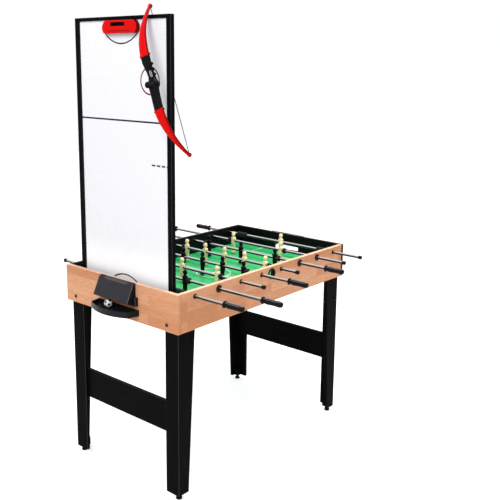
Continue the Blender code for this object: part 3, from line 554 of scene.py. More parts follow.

# The legs and the boards between them are chipboard in black ash-grain foil,
# the grain running along each board. Their edges are painted lighter as a highlight.
ASH_BLACK = (0.0012, 0.0011, 0.0014, 1.0)
ASH_GREY = (0.0050, 0.0047, 0.0056, 1.0)
ASH_HIGHLIGHT_GREY = (0.13, 0.13, 0.14, 1.0)
ASH_FINENESS = 7.0
ASH_CONTRAST = 2.2
ASH_HIGHLIGHT_SPREAD = (0.8, 0.0015)
ASH_ROUGHNESS = (0.36, 0.52)
ASH_RELIEF = (0.25, 0.0003)
ASH_GLOSS = 0.012


def black_board(name, node, long_axis, roughness=ASH_ROUGHNESS, grey=ASH_GREY):
    """Black wood-grain foil whose grain follows the board's long axis."""
    material, tree, shader = new_material(name)
    point = along_axes(tree, piece_place(tree))
    run = joined(tree, point[long_axis], point[(long_axis + 1) % 3], point[(long_axis + 2) % 3])
    grain = use_group(tree, BOARD_GRAIN, Place=run, Fineness=ASH_FINENESS)
    tone = maths(tree, "MULTIPLY", grain["Figure"], grain["Streaks"])
    body = mix_colour(tree, maths(tree, "MULTIPLY", tone, ASH_CONTRAST), ASH_BLACK, grey)
    # Painted highlight: the board's edges are painted a lighter grey.
    body = edge_tinted(tree, node, body, ASH_HIGHLIGHT_GREY, *ASH_HIGHLIGHT_SPREAD)
    dress(shader, body, spread(tree, grain["Streaks"], *roughness), grain["Height"], ASH_RELIEF, ASH_GLOSS)
    return material


for end in ("near", "far"):
    for side in ("front", "back"):
        leg = f"leg_{end}_{side}"
        paint(black_board(f"black ash foil, {end} {side} leg", leg, long_axis=2), leg)
    board = f"{end}_stretcher"
    paint(black_board(f"black ash foil, {end} stretcher", board, long_axis=1), board)

# Under each leg a black plastic foot turns on a zinc-plated screw to level
# the table. The pad covers the foot that is part of the leg's solid.
FOOT_X = 0.4752
FOOT_Y = 0.2702
# Rows are radius and height above the floor, in millimetres
PAD_ROWS = ((10.58, 0.0), (11.5, 1.2), (11.5, 4.07), (10.35, 6.29), (6.325, 7.4))
NUT_ROWS = ((6.48, 11.8), (7.2, 12.4), (7.2, 16.2), (6.48, 16.8))
STEEL_SHADE = (0.045, 0.042, 0.045, 1.0)
ZINC_GREY = (0.5, 0.5, 0.52, 1.0)
DRAWN_FINENESS = 700.0
DRAWN_LENGTHWAYS = 9.0
DRAWN_DIMMING = 0.86
DRAWN_RELIEF = (0.1, 0.0001)
# How far up a surface of steel turns as it goes from dark to bright
STEEL_FACING = (0.15, 0.8)
FOOT_PLASTIC = plastic("foot plastic", NYLON_BLACK, NYLON_SHEEN, smooth=0.45, rough=0.6)


def eased(tree, term, start, end):
    """0 to 1 as the term goes from one limit to the other, with soft ends."""
    made = tree.nodes.new("ShaderNodeMapRange")
    made.interpolation_type = "SMOOTHSTEP"
    feed(tree, made.inputs["Value"], term)
    made.inputs["From Min"].default_value = start
    made.inputs["From Max"].default_value = end
    return made.outputs["Result"]


def facing_share(tree, axis, limits):
    """0 to 1 as the surface turns towards a world axis, between two limits."""
    normal = along_axes(tree, tree.nodes.new("ShaderNodeNewGeometry").outputs["Normal"])
    return eased(tree, normal[axis], *limits)


def bright_metal(name, colour, smooth, rough, along):
    """Plated or drawn steel with fine lines running along one axis; its sides and
    under side mirror what is dark below, so they are painted darker, a painted reflection."""
    material, tree, shader = new_material(name)
    stretch = [DRAWN_FINENESS] * 3
    stretch[along] = DRAWN_LENGTHWAYS
    place = vector_maths(tree, "MULTIPLY", piece_place(tree), stretch)
    drawn = mottle(tree, place, scale=1.0, detail=2.0)
    dim = tuple(channel * DRAWN_DIMMING for channel in colour[:3]) + (1.0,)
    bright = mix_colour(tree, drawn, colour, dim)
    # Painted reflection: sides and under sides darker than the top.
    toned = mix_colour(tree, facing_share(tree, 2, STEEL_FACING), STEEL_SHADE, bright)
    dress(shader, toned, spread(tree, drawn, smooth, rough), drawn, DRAWN_RELIEF)
    shader.inputs["Metallic"].default_value = 1.0
    return material


ZINC = bright_metal("zinc-plated screw", ZINC_GREY, smooth=0.25, rough=0.4, along=2)
for end_name, end in ENDS:
    for side_name, side in SIDES:
        centre = (end * FOOT_X, side * FOOT_Y, 0.0)
        turned_piece(f"foot_pad_{end_name}_{side_name}", in_metres(PAD_ROWS), (0, 0, 1), centre,
                     FOOT_PLASTIC, "table", sides=28)
        turned_piece(f"foot_nut_{end_name}_{side_name}", in_metres(NUT_ROWS), (0, 0, 1), centre,
                     ZINC, "table", sides=6)

# At each end a black moulded housing covers the goal mouth, with a ribbed top
# and a screwed tab each side, and a crescent tray below catches the ball.
HOUSING_BLACK = (0.015, 0.014, 0.018, 1.0)
HOUSING_SHEEN = (0.036, 0.034, 0.041, 1.0)
HOUSING_TAB = 0.012
TAB_FACE = 0.5193
TAB_REACH = 0.0995
TAB_RISE = 0.0211
# Rows are radius and place along the axis, in millimetres
SCREW_ROWS = ((3.2, -0.4), (3.2, 0.6), (2.24, 1.4), (0.96, 1.7))
HOUSING_GRIT = (700.0, 0.00012)
TRAY_GRIT = (700.0, 0.0001)
CORNER_SHEEN = (0.17, 0.17, 0.18, 1.0)
RIB_SHEEN = (0.19, 0.19, 0.20, 1.0)
FACE_TURN = 0.8
CORNER_WIDTH = 0.0012
RIB_PITCH = 0.0105
RIB_HALF_SHARE = 0.15
RIB_REACH = 0.058
RIB_WRAP = 0.0105


def tint_over(material, share, tint):
    """Mixes a tint into a material's own colour, by a mask or share."""
    tree = material.node_tree
    colour = tree.nodes["Principled BSDF"].inputs["Base Color"]
    feed(tree, colour, mix_colour(tree, share, colour.links[0].from_socket, tint))


def housing_plastic(label):
    """Housing plastic with painted shade on its sides, and painted highlights along
    its rounded corners and on its top ribs."""
    material = plastic(f"{label} housing plastic", HOUSING_BLACK, HOUSING_SHEEN, smooth=0.38, rough=0.5,
                       grit=HOUSING_GRIT)
    tree = material.node_tree
    low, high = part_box(f"{label}_goal_box")
    middle = (low.y + high.y) / 2
    half = (high.y - low.y) / 2 - HOUSING_TAB
    _, y, z = along_axes(tree, piece_place(tree))
    across = maths(tree, "SUBTRACT", y, middle)
    reach = maths(tree, "ABSOLUTE", across)
    normal = along_axes(tree, tree.nodes.new("ShaderNodeNewGeometry").outputs["Normal"])
    # Painted highlight along the rounded side corners of the front.
    front = maths(tree, "COMPARE", maths(tree, "ABSOLUTE", normal[0]), 1.0, 1.0 - FACE_TURN)
    corner = maths(tree, "COMPARE", reach, half - CORNER_WIDTH, CORNER_WIDTH)
    tint_over(material, maths(tree, "MULTIPLY", corner, front), CORNER_SHEEN)
    # Painted highlights in stripes across the ribbed top.
    phase = maths(tree, "FRACT", maths(tree, "DIVIDE", across, RIB_PITCH))
    near_top = maths(tree, "MULTIPLY", maths(tree, "GREATER_THAN", z, high.z - RIB_WRAP),
                     maths(tree, "LESS_THAN", reach, RIB_REACH))
    ribs = maths(tree, "MULTIPLY", maths(tree, "COMPARE", phase, 0.5, RIB_HALF_SHARE), near_top)
    tint_over(material, ribs, RIB_SHEEN)
    # Painted shade: the side faces are darkened to the bearing nylon's black.
    sideways = maths(tree, "GREATER_THAN", maths(tree, "ABSOLUTE", normal[1]), FACE_TURN)
    tint_over(material, sideways, NYLON_BLACK)
    return material


TRAY = plastic("tray plastic", NYLON_BLACK, NYLON_SHEEN, smooth=0.3, rough=0.42, grit=TRAY_GRIT)
paint(TRAY, "near_ball_tray", "far_ball_tray")
for label, end in ENDS:
    paint(housing_plastic(label), f"{label}_goal_box")
    low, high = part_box(f"{label}_goal_box")
    middle = (low.y + high.y) / 2
    for hand, side in HANDS:
        centre = (end * TAB_FACE, middle + side * TAB_REACH, low.z + TAB_RISE)
        turned_piece(f"housing_screw_{label}_{hand}", in_metres(SCREW_ROWS), (end, 0, 0), centre,
                     BOLT_BLACK, "table", sides=16)

# The ball is a small hard football, white with black pentagons, lying in the
# near tray. The pentagons sit on the twelve corners of an icosahedron.
BALL_WHITE = (0.86, 0.86, 0.86, 1.0)
BALL_BLACK = (0.012, 0.012, 0.012, 1.0)
PENTAGON_REACH = 0.945
BALL_SKIN_FINENESS = 500.0
BALL_ROUGHNESS = (0.25, 0.4)
BALL_RELIEF = (0.2, 0.0001)
GOLDEN = (1 + math.sqrt(5)) / 2
PENTAGON_AXES = ((0, 1, GOLDEN), (0, -1, GOLDEN), (1, GOLDEN, 0), (-1, GOLDEN, 0),
                 (GOLDEN, 0, 1), (GOLDEN, 0, -1))


def football_print(centre):
    """White plastic with a dark pentagon wherever a corner of the icosahedron
    comes close; opposite corners share an axis."""
    material, tree, shader = new_material("football print")
    place = piece_place(tree)
    outward = vector_maths(tree, "NORMALIZE", vector_maths(tree, "SUBTRACT", place, centre))
    best = 0.0
    for axis in PENTAGON_AXES:
        reach = vector_maths(tree, "DOT_PRODUCT", outward, Vector(axis).normalized(), gives="Value")
        best = maths(tree, "MAXIMUM", best, maths(tree, "ABSOLUTE", reach))
    spots = maths(tree, "GREATER_THAN", best, PENTAGON_REACH)
    skin = use_group(tree, MOULDED_SKIN, Place=place, Fineness=BALL_SKIN_FINENESS)
    dress(shader, mix_colour(tree, spots, BALL_WHITE, BALL_BLACK),
          spread(tree, skin["Gloss"], *BALL_ROUGHNESS), skin["Height"], BALL_RELIEF)
    return material


ball_low, ball_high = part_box("ball")
ball_centre = (Vector(ball_low) + Vector(ball_high)) / 2
ball = bmesh.new()
bmesh.ops.create_icosphere(ball, subdivisions=4, radius=(ball_high.z - ball_low.z) / 2,
                           matrix=Matrix.Translation(ball_centre))
football = add_piece("football", ball, football_print(ball_centre), "table")
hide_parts("ball")

# Eight hollow steel rods are chromed and cross the field. Each slides and
# turns in its bearings, and has two rubber rings that stop its men short of
# the apron; a keeper's rod has two long rubber sleeves. Five stand pushed over.
MEN_PER_ROD = (1, 2, 3, 5, 5, 3, 2, 1)
HANDLE_SIDES = (-1, -1, 1, -1, 1, -1, 1, 1)
MEN_SPACING = {1: 0.0, 2: 0.272, 3: 0.186, 5: 0.1095}
REST_SHIFT = (0.0, 0.0, 0.0, 0.005, -0.006, 0.008, 0.02, -0.022)
CAP_REACH = {1: 0.427, 2: 0.467, 3: 0.42, 5: 0.386}
CAP_WALL = 0.0035
HANDLE_START = {1: 0.44, 2: 0.505, 3: 0.44, 5: 0.44}
ROD_IN_HANDLE = 0.058
RING_RADIUS = 0.0115
RING_WIDTH = 0.012
RING_OFFSET = 0.02
RING_ROUNDING = 0.0018
RING_SHOULDER = 0.0005
SLEEVE_SPAN = (0.2, 0.255)
ROD_BEVEL = 0.0008
CHROME_TINT = (0.74, 0.72, 0.72, 1.0)
RUBBER_DULL = (0.008, 0.007, 0.009, 1.0)
RUBBER_BRIGHT = (0.022, 0.020, 0.024, 1.0)
RUBBER_GRIT = (500.0, 0.0002)
CHROME = bright_metal("chromed rod", CHROME_TINT, smooth=0.16, rough=0.28, along=1)
RUBBER = plastic("bumper rubber", RUBBER_DULL, RUBBER_BRIGHT, smooth=0.5, rough=0.65, grit=RUBBER_GRIT)


def rod_middle(index):
    return rod_x(index), REST_SHIFT[index], ROD_HEIGHT


def men_places(count):
    """Where the men stand along a rod, from its middle."""
    return [(i - (count - 1) / 2) * MEN_SPACING[count] for i in range(count)]


def ring_span(count):
    """Where the outer rubber ring or sleeve starts and ends, from the rod's middle."""
    if count == 1:
        return SLEEVE_SPAN
    middle = men_places(count)[-1] + RING_OFFSET
    return middle - RING_WIDTH / 2, middle + RING_WIDTH / 2


for index in range(ROD_COUNT):
    count = MEN_PER_ROD[index]
    side = HANDLE_SIDES[index]
    body = f"rod_{index + 1}_spin"
    free_end = CAP_WALL - CAP_REACH[count]
    grip_end = HANDLE_START[count] + ROD_IN_HANDLE
    profile = [(ROD_RADIUS - ROD_BEVEL, free_end), (ROD_RADIUS, free_end + ROD_BEVEL),
               (ROD_RADIUS, grip_end - ROD_BEVEL), (ROD_RADIUS - ROD_BEVEL, grip_end)]
    rod = turned_piece(f"steel_rod_{index + 1}", profile, (0, side, 0), rod_middle(index),
                       CHROME, body, sides=36)
    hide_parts(f"rod_{index + 1}")
    start, end = ring_span(count)
    half = (end - start) / 2
    soft = RING_ROUNDING
    shoulder = RING_RADIUS - RING_SHOULDER
    profile = [(ROD_RADIUS, -half), (RING_RADIUS - soft, -half), (shoulder, soft / 3 - half),
               (RING_RADIUS, soft - half), (RING_RADIUS, half - soft), (shoulder, half - soft / 3),
               (RING_RADIUS - soft, half), (ROD_RADIUS, half)]
    for mark, way in (("a", -1), ("b", 1)):
        centre = (rod_x(index), REST_SHIFT[index] + way * (start + end) / 2, ROD_HEIGHT)
        turned_piece(f"bumper_ring_{index + 1}{mark}", profile, (0, 1, 0), centre,
                     RUBBER, body, sides=32, hollow=True)

# The men are moulded in one piece and pinned to the rods: a kicking block for
# feet, legs side by side, shorts, a broad chest round the rod, arms held close
# and a plain round head. One team is black, the other cream.
CREAM_DEEP = (1.0, 0.74, 0.42, 1.0)
CREAM_PALE = (1.0, 0.82, 0.53, 1.0)
JET_DEEP = (0.002, 0.002, 0.003, 1.0)
JET_PALE = (0.007, 0.0065, 0.008, 1.0)
MAN_GRIT = (300.0, 0.0002)
MAN_CREAM = plastic("cream men plastic", CREAM_DEEP, CREAM_PALE, smooth=0.28, rough=0.4, grit=MAN_GRIT)
MAN_BLACK = plastic("black men plastic", JET_DEEP, JET_PALE, smooth=0.24, rough=0.36, grit=MAN_GRIT,
                    shine=0.06)
MAN_WIDENING = 1.05
# The middle of a leg from the man's middle, in millimetres
LEG_SPREAD = 4.1
# Rows are level, half width, half depth and forward offset, in millimetres
FEET_ROWS = ((-57.0, 7.6, 9.0, 0.0), (-55.8, 8.4, 10.0, 0.0), (-51.5, 8.6, 10.2, 0.0),
             (-48.0, 7.6, 8.2, 0.0), (-45.0, 6.4, 6.0, 0.0), (-43.5, 5.2, 5.0, 0.0))
LEG_ROWS = ((-47.0, 3.2, 5.6, 0.0), (-42.0, 3.3, 5.4, 0.0), (-35.0, 4.0, 6.3, -0.4),
            (-29.0, 4.0, 6.2, -0.2), (-24.0, 3.8, 5.8, 0.2), (-17.0, 4.7, 7.0, 0.2),
            (-10.0, 5.0, 7.6, 0.0))
TORSO_ROWS = ((-18.5, 9.4, 7.6, 0.0), (-17.8, 10.0, 8.2, 0.0), (-10.0, 9.9, 8.3, 0.0),
              (-6.0, 9.0, 8.1, 0.0), (-1.0, 8.9, 8.7, 0.0), (5.0, 9.9, 9.4, 0.2),
              (10.5, 10.8, 9.2, 0.2), (14.0, 10.2, 8.0, 0.0), (16.6, 7.6, 6.2, 0.0),
              (18.2, 4.5, 4.6, 0.0), (21.5, 4.2, 4.4, 0.0))
HEAD_ROWS = ((19.0, 3.4, 3.8, 0.4), (20.4, 5.6, 6.2, 0.5), (23.4, 7.4, 8.0, 0.4),
             (27.6, 8.5, 8.9, 0.1), (32.0, 8.3, 8.7, 0.0), (35.8, 6.7, 7.0, -0.1),
             (38.2, 3.9, 4.2, -0.1), (39.2, 1.3, 1.4, 0.0))
# An arm's rows also have its distance from the man's middle, after the level
ARM_ROWS = ((15.6, 8.4, 1.6, 2.2, 0.0), (13.6, 9.6, 2.6, 3.6, 0.0), (8.0, 10.1, 2.2, 3.3, -0.4),
            (2.0, 10.2, 2.0, 2.9, 0.2), (-4.0, 9.9, 2.0, 2.6, 1.6), (-9.0, 9.7, 2.2, 2.5, 2.6),
            (-12.0, 9.6, 1.3, 1.6, 2.8))
# How full an oval's corners are: 1 is a plain oval, less is squarer
BODY_FULLNESS = 0.82
FEET_FULLNESS = 0.62
HEAD_FULLNESS = 1.0


def oval_ring(level, across, half_width, half_depth, offset, sides, fullness=BODY_FULLNESS):
    """A level ring of a soft-cornered oval, from sizes in millimetres."""
    ring = []
    for k in range(sides):
        angle = 2 * math.pi * k / sides
        ahead = math.cos(angle)
        aside = math.sin(angle)
        ring.append(Vector((offset + math.copysign(abs(ahead) ** fullness, ahead) * half_depth,
                            across + math.copysign(abs(aside) ** fullness, aside) * half_width,
                            level)) * MILLIMETRE)
    return ring


def man_mesh(name, facing, material):
    """One man round its rod's axis; facing is +1 to look along +X."""
    shape = bmesh.new()

    def loft(rows, across, sides, fullness=BODY_FULLNESS):
        skin_rings(shape, [oval_ring(level, across, wide, deep, offset, sides, fullness)
                           for level, wide, deep, offset in rows])

    loft(FEET_ROWS, 0.0, sides=16, fullness=FEET_FULLNESS)
    for side in (-1, 1):
        loft(LEG_ROWS, side * LEG_SPREAD, sides=12)
        skin_rings(shape, [oval_ring(level, side * reach, wide, deep, offset, sides=10)
                           for level, reach, wide, deep, offset in ARM_ROWS])
    loft(TORSO_ROWS, 0.0, sides=20)
    loft(HEAD_ROWS, 0.0, sides=16, fullness=HEAD_FULLNESS)
    bmesh.ops.scale(shape, vec=(facing, MAN_WIDENING, 1.0), verts=shape.verts)
    mesh = mesh_of(name, shape, material)
    mesh.shade_smooth()
    return mesh


MEN_MESHES = {-1: man_mesh("black man", 1, MAN_BLACK), 1: man_mesh("cream man", -1, MAN_CREAM)}
for index in range(ROD_COUNT):
    count = MEN_PER_ROD[index]
    team = "black" if HANDLE_SIDES[index] < 0 else "cream"
    for letter, along in zip("abcde", men_places(count)):
        node = f"{team}_man_{index + 1}{letter if count > 1 else ''}"
        man = new_object("player_" + node, MEN_MESHES[HANDLE_SIDES[index]])
        man.location = (rod_x(index), REST_SHIFT[index] + along, ROD_HEIGHT)
        rounding = man.modifiers.new("rounding", "SUBSURF")
        rounding.levels = 1
        rounding.render_levels = 1
        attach(man, f"rod_{index + 1}_spin")
        if count < 5:
            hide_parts(node)

# Each rod has a black grip at one end and a black cap at the other. The grip
# is fluted for the hand, with a collar next to the table and a domed end.
GRIP_FLUTES = 10
FLUTE_DEPTH = 0.0011
FLUTE_SPAN = (0.014, 0.077)
FLUTE_RUN_OUT = 0.008
POINTS_PER_FLUTE = 6
# Levels of the rings between the rows, in millimetres
FLUTE_LEVELS = range(12, 82, 2)
# Rows are distance from the collar's face and radius, in millimetres
GRIP_ROWS = ((0.0, 9.0), (0.3, 12.2), (1.0, 13.0), (2.8, 13.0), (3.8, 12.2), (4.6, 9.0), (6.0, 7.8),
             (9.0, 7.9), (13.0, 9.6), (19.0, 10.9), (27.0, 11.1), (38.0, 10.4), (50.0, 10.0),
             (60.0, 10.4), (70.0, 11.0), (76.0, 10.8), (81.0, 9.6), (84.6, 6.6), (86.0, 2.4))
CAP_RADIUS = 0.0081
CAP_LENGTH = 0.014
CAP_CLEARANCE = 0.0002
CAP_BEVEL = 0.0008
# Rows are share of the cap's radius and distance from its end
CAP_END_ROWS = ((1.0, 0.003), (0.86, 0.0012), (0.55, 0.0002), (0.15, 0.0))
GRIP_DULL = (0.004, 0.004, 0.005, 1.0)
GRIP_BRIGHT = (0.011, 0.0105, 0.013, 1.0)
GRIP_SHEEN = (0.14, 0.14, 0.15, 1.0)
GRIP_FACING = (0.72, 1.0)
GRIP_GRIT = (600.0, 0.00015)
GRIP = plastic("grip plastic", GRIP_DULL, GRIP_BRIGHT, smooth=0.3, rough=0.44, grit=GRIP_GRIT, shine=0.05)
# A painted highlight where the grip faces up, so the flutes show
tint_over(GRIP, facing_share(GRIP.node_tree, 2, GRIP_FACING), GRIP_SHEEN)


def row_value(rows, place):
    """Reads a table of (place, value) rows, evenly between neighbours."""
    for (start, first), (end, second) in zip(rows, rows[1:]):
        if place <= end:
            share = (place - start) / (end - start)
            return first + (second - first) * share
    return rows[-1][1]


def grip_piece(index, side, start):
    """A fluted grip, turned as rings that follow the rows and wave with the flutes."""
    shape = bmesh.new()
    rings = []
    sides = GRIP_FLUTES * POINTS_PER_FLUTE
    for level in sorted({row[0] for row in GRIP_ROWS} | set(FLUTE_LEVELS)):
        place = level * MILLIMETRE
        radius = row_value(GRIP_ROWS, level) * MILLIMETRE
        entry = (place - FLUTE_SPAN[0]) / FLUTE_RUN_OUT
        leave = (FLUTE_SPAN[1] - place) / FLUTE_RUN_OUT
        fade = max(0.0, min(1.0, entry, leave))
        ring = []
        for k in range(sides):
            angle = 2 * math.pi * k / sides
            wave = (1 - math.cos(GRIP_FLUTES * angle)) / 2
            reach = radius - FLUTE_DEPTH * fade * wave ** 2
            ring.append((rod_x(index) + reach * math.cos(angle),
                         REST_SHIFT[index] + side * (start + place),
                         ROD_HEIGHT + reach * math.sin(angle)))
        rings.append(ring)
    skin_rings(shape, rings)
    grip = add_piece(f"grip_{index + 1}", shape, GRIP, f"rod_{index + 1}_spin")
    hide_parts(f"handle_{index + 1}")


for index in range(ROD_COUNT):
    side = HANDLE_SIDES[index]
    grip_piece(index, side, HANDLE_START[MEN_PER_ROD[index]])
    outer = CAP_REACH[MEN_PER_ROD[index]]
    inner = outer - CAP_LENGTH
    profile = [(ROD_RADIUS + CAP_CLEARANCE, inner), (CAP_RADIUS - CAP_BEVEL, inner),
               (CAP_RADIUS, inner + CAP_BEVEL)]
    profile += [(CAP_RADIUS * share, outer - back) for share, back in CAP_END_ROWS]
    plug = turned_piece(f"rod_cap_{index + 1}", profile, (0, -side, 0), rod_middle(index),
                        GRIP, f"rod_{index + 1}_slide", sides=28)
    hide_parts(f"end_cap_{index + 1}")

# The slide hockey board stands on the field against the near end: a white
# melamine panel in four black rails, with a rubber bumper along the long ones.
# Thin lines are printed on it: two lines, a ring and an arc before each goal.
RAIL_FACE = 0.0175
RAIL_END_FACE = 0.0125
PANEL_RECESS = 0.005
BUMPER_REACH = 0.0065
BUMPER_RISE = 0.0046
BUMPER_SINK = 0.0003
BUMPER_STEPS = 8
BUMPER_GRIT = (600.0, 0.0001)
PANEL_WHITE = (0.775, 0.775, 0.80, 1.0)
PANEL_COOL = (0.75, 0.75, 0.80, 1.0)
PANEL_FOOT_LIGHTENED = (0.90, 0.90, 0.93, 1.0)
PANEL_LIGHTENED_HEIGHTS = (0.80, 0.93)
RAIL_GREY = (0.0055, 0.005, 0.0065, 1.0)
RAIL_ROUGHNESS = (0.3, 0.46)
PRINT_BLUE = (0.004, 0.004, 0.030, 1.0)
PRINT_RED = (0.035, 0.003, 0.012, 1.0)
PRINT_MAROON = (0.13, 0.003, 0.022, 1.0)
PRINT_AND_SHADE_BLACK = (0.004, 0.004, 0.010, 1.0)
PANEL_GLOSS = 0.2
PANEL_ROUGHNESS = (0.22, 0.32)
PANEL_RELIEF = (0.01, 0.0001)
BLUE_LINE_HEIGHT = 1.345
BLUE_LINE_HALF_WIDTH = 0.003
RED_DASH_HEIGHT = 1.2
RED_DASH_HALF_WIDTH = 0.0028
RED_DASH_START = -0.233
RED_DASH_END = -0.146
DASHES_PER_METRE = 41.0
DASH_GAP_SHARE = 0.28
RING_PLACE = (-0.142, 1.484)
FACE_OFF_RADIUS = 0.045
FACE_OFF_HALF_WIDTH = 0.0027
CREASE_RADIUS = 0.1155
CREASE_HALF_WIDTH = 0.0025
CREASE_CENTRES = (1.7235, 0.6705)
GOAL_MIDDLE = -0.01
GOAL_SHADE_HALF_WIDTH = 0.068
GOAL_SHADE_HEIGHTS = (1.6485, 0.7455)


def panel_print():
    """The white panel with its printed lines, plain at the back, and painted black as shade where
    the goals' windows show it. Its foot is painted lighter, against the shade that falls there."""
    material, tree, shader = new_material("printed panel")
    place = piece_place(tree)
    x, y, z = along_axes(tree, place)
    low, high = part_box("hockey_panel")
    front = maths(tree, "LESS_THAN", x, (low.x + high.x) / 2)

    def from_point(across, level):
        return distance(tree, maths(tree, "SUBTRACT", y, across), maths(tree, "SUBTRACT", z, level))

    cloud = mottle(tree, place, scale=1.5, detail=0.0)
    plain = mix_colour(tree, cloud, PANEL_WHITE, PANEL_COOL)
    # Painted light: the foot is lighter, against the shade that falls there.
    plain = mix_colour(tree, eased(tree, z, *PANEL_LIGHTENED_HEIGHTS), PANEL_FOOT_LIGHTENED, plain)
    blue = maths(tree, "COMPARE", z, BLUE_LINE_HEIGHT, BLUE_LINE_HALF_WIDTH)
    colour = mix_colour(tree, blue, plain, PRINT_BLUE)
    dash_middle = (RED_DASH_START + RED_DASH_END) / 2
    dash = maths(tree, "MULTIPLY", maths(tree, "COMPARE", z, RED_DASH_HEIGHT, RED_DASH_HALF_WIDTH),
                 maths(tree, "COMPARE", y, dash_middle, RED_DASH_END - dash_middle))
    along = maths(tree, "MULTIPLY", maths(tree, "SUBTRACT", y, RED_DASH_END), DASHES_PER_METRE)
    gaps = maths(tree, "GREATER_THAN", maths(tree, "FRACT", along), DASH_GAP_SHARE)
    colour = mix_colour(tree, maths(tree, "MULTIPLY", dash, gaps), colour, PRINT_RED)
    ring = maths(tree, "COMPARE", from_point(*RING_PLACE), FACE_OFF_RADIUS, FACE_OFF_HALF_WIDTH)
    colour = mix_colour(tree, ring, colour, PRINT_MAROON)
    beyond = maths(tree, "MAXIMUM", maths(tree, "GREATER_THAN", z, GOAL_SHADE_HEIGHTS[0]),
                   maths(tree, "LESS_THAN", z, GOAL_SHADE_HEIGHTS[1]))
    for level in CREASE_CENTRES:
        crease = maths(tree, "COMPARE", from_point(0.0, level), CREASE_RADIUS, CREASE_HALF_WIDTH)
        crease = maths(tree, "MULTIPLY", crease, maths(tree, "SUBTRACT", 1.0, beyond))
        colour = mix_colour(tree, crease, colour, PRINT_AND_SHADE_BLACK)
    # Painted shade: black behind the goals' windows, where only shade shows.
    under_goal = maths(tree, "MULTIPLY", beyond,
                       maths(tree, "COMPARE", y, GOAL_MIDDLE, GOAL_SHADE_HALF_WIDTH))
    colour = mix_colour(tree, under_goal, colour, PRINT_AND_SHADE_BLACK)
    roughness = spread(tree, mottle(tree, place, scale=30.0), *PANEL_ROUGHNESS)
    roughness = maths(tree, "MAXIMUM", roughness, under_goal)
    skin = mottle(tree, place, scale=900.0, detail=1.0)
    dress(shader, mix_colour(tree, front, plain, colour), roughness, skin, PANEL_RELIEF, PANEL_GLOSS)
    return material


paint(panel_print(), "hockey_panel")
RAIL_FOIL = black_board("black rail foil", "hockey_frame", long_axis=2, roughness=RAIL_ROUGHNESS,
                        grey=RAIL_GREY)
paint(RAIL_FOIL, "hockey_frame")
BUMPER = plastic("rail bumper rubber", NYLON_BLACK, NYLON_SHEEN, smooth=0.4, rough=0.55,
                 grit=BUMPER_GRIT, shine=0.02)
low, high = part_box("hockey_frame")
sheet_front = low.x + PANEL_RECESS + BUMPER_SINK
for hand, edge, inward in (("left", high.y, -1), ("right", low.y, 1)):
    seat = edge + inward * RAIL_FACE
    sunk = seat - inward * BUMPER_SINK
    profile = [(sheet_front, sunk), (sheet_front - BUMPER_RISE, sunk)]
    for k in range(BUMPER_STEPS + 1):
        angle = math.pi / 2 * k / BUMPER_STEPS
        profile.append((sheet_front - BUMPER_RISE * math.cos(angle),
                        seat + inward * BUMPER_REACH * math.sin(angle)))
    strip = bmesh.new()
    skin_rings(strip, [[Vector((x, y, level)) for x, y in profile]
                       for level in (low.z + RAIL_END_FACE, high.z - RAIL_END_FACE)])
    add_piece(f"rail_bumper_{hand}", strip, BUMPER, "table")

# At each end of the hockey board a red moulded hood is the goal. The puck
# slides in below it, and a window in its front lets the fingers in.
GOAL_RED = (0.55, 0.003, 0.003, 1.0)
GOAL_BRIGHT = (0.68, 0.005, 0.004, 1.0)
RED_SHADE = (0.16, 0.0015, 0.0015, 1.0)
RED_GRIT = (400.0, 0.0001)
# How far a surface turns from the front as it deepens to the shade
RED_FACING = (-0.85, -0.25)
STEP_SHADE = 0.8
STEP_RISE = 0.0085
STEP_HALF_WIDTH = 0.0014
STEP_HALF_LENGTH = 0.056


def shaded_red(name, smooth, rough, shine):
    """Red plastic with painted shade where its surface turns away from the front."""
    material = plastic(name, GOAL_RED, GOAL_BRIGHT, smooth, rough, RED_GRIT, shine)
    tint_over(material, facing_share(material.node_tree, 0, RED_FACING), RED_SHADE)
    return material


for node in ("hockey_goal_top", "hockey_goal_bottom"):
    red = shaded_red(node.replace("_", " ") + " plastic", smooth=0.26, rough=0.36, shine=0.035)
    tree = red.node_tree
    low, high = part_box(node)
    _, y, z = along_axes(tree, piece_place(tree))
    # A painted shadow line across the hood, a little above its lower edge.
    step = maths(tree, "MULTIPLY", maths(tree, "COMPARE", z, low.z + STEP_RISE, STEP_HALF_WIDTH),
                 maths(tree, "COMPARE", y, (low.y + high.y) / 2, STEP_HALF_LENGTH))
    tint_over(red, maths(tree, "MULTIPLY", step, STEP_SHADE), RED_SHADE)
    paint(red, node)

# The toy bow hangs by its string over the hockey board's corner. Its two red
# limbs are hollow mouldings, each with a collar at its root and a ball at its
# tip, and push onto the riser's ends.
BOW_MIDDLE = Vector((-0.4599, -0.222, 1.4885))
BOW_LEAN = math.radians(20.5)
BOW_CHORD = 0.516
BOW_DEPTH = 0.082
RISER_LENGTH = 0.176
RISER_SHIFT = -0.01
LIMB_TIP_RADIUS = 0.0078
# The middle of a tip's ball from the bow's middle
LIMB_TIP_REACH = 0.25629
LIMB_STEP_SHARE = 0.002
LIMB_FULLNESS = 0.8
BOW_PLACE = Matrix.Translation(BOW_MIDDLE) @ Matrix.Rotation(-BOW_LEAN, 4, "X")
# Rows are share along the limb, half width and half depth, in millimetres
LIMB_ROWS = ((0.0, 20.0, 8.0), (0.012, 22.4, 9.4), (0.04, 22.4, 9.4), (0.05, 19.4, 8.2),
             (0.12, 18.8, 8.0), (0.25, 17.8, 7.8), (0.38, 15.6, 7.3), (0.5, 13.4, 6.9),
             (0.62, 11.2, 6.4), (0.74, 9.2, 5.8), (0.86, 7.2, 5.2), (0.95, 5.8, 4.7), (0.99, 5.2, 4.4))
LIMB_RED = shaded_red("red limb plastic", smooth=0.22, rough=0.34, shine=0.03)


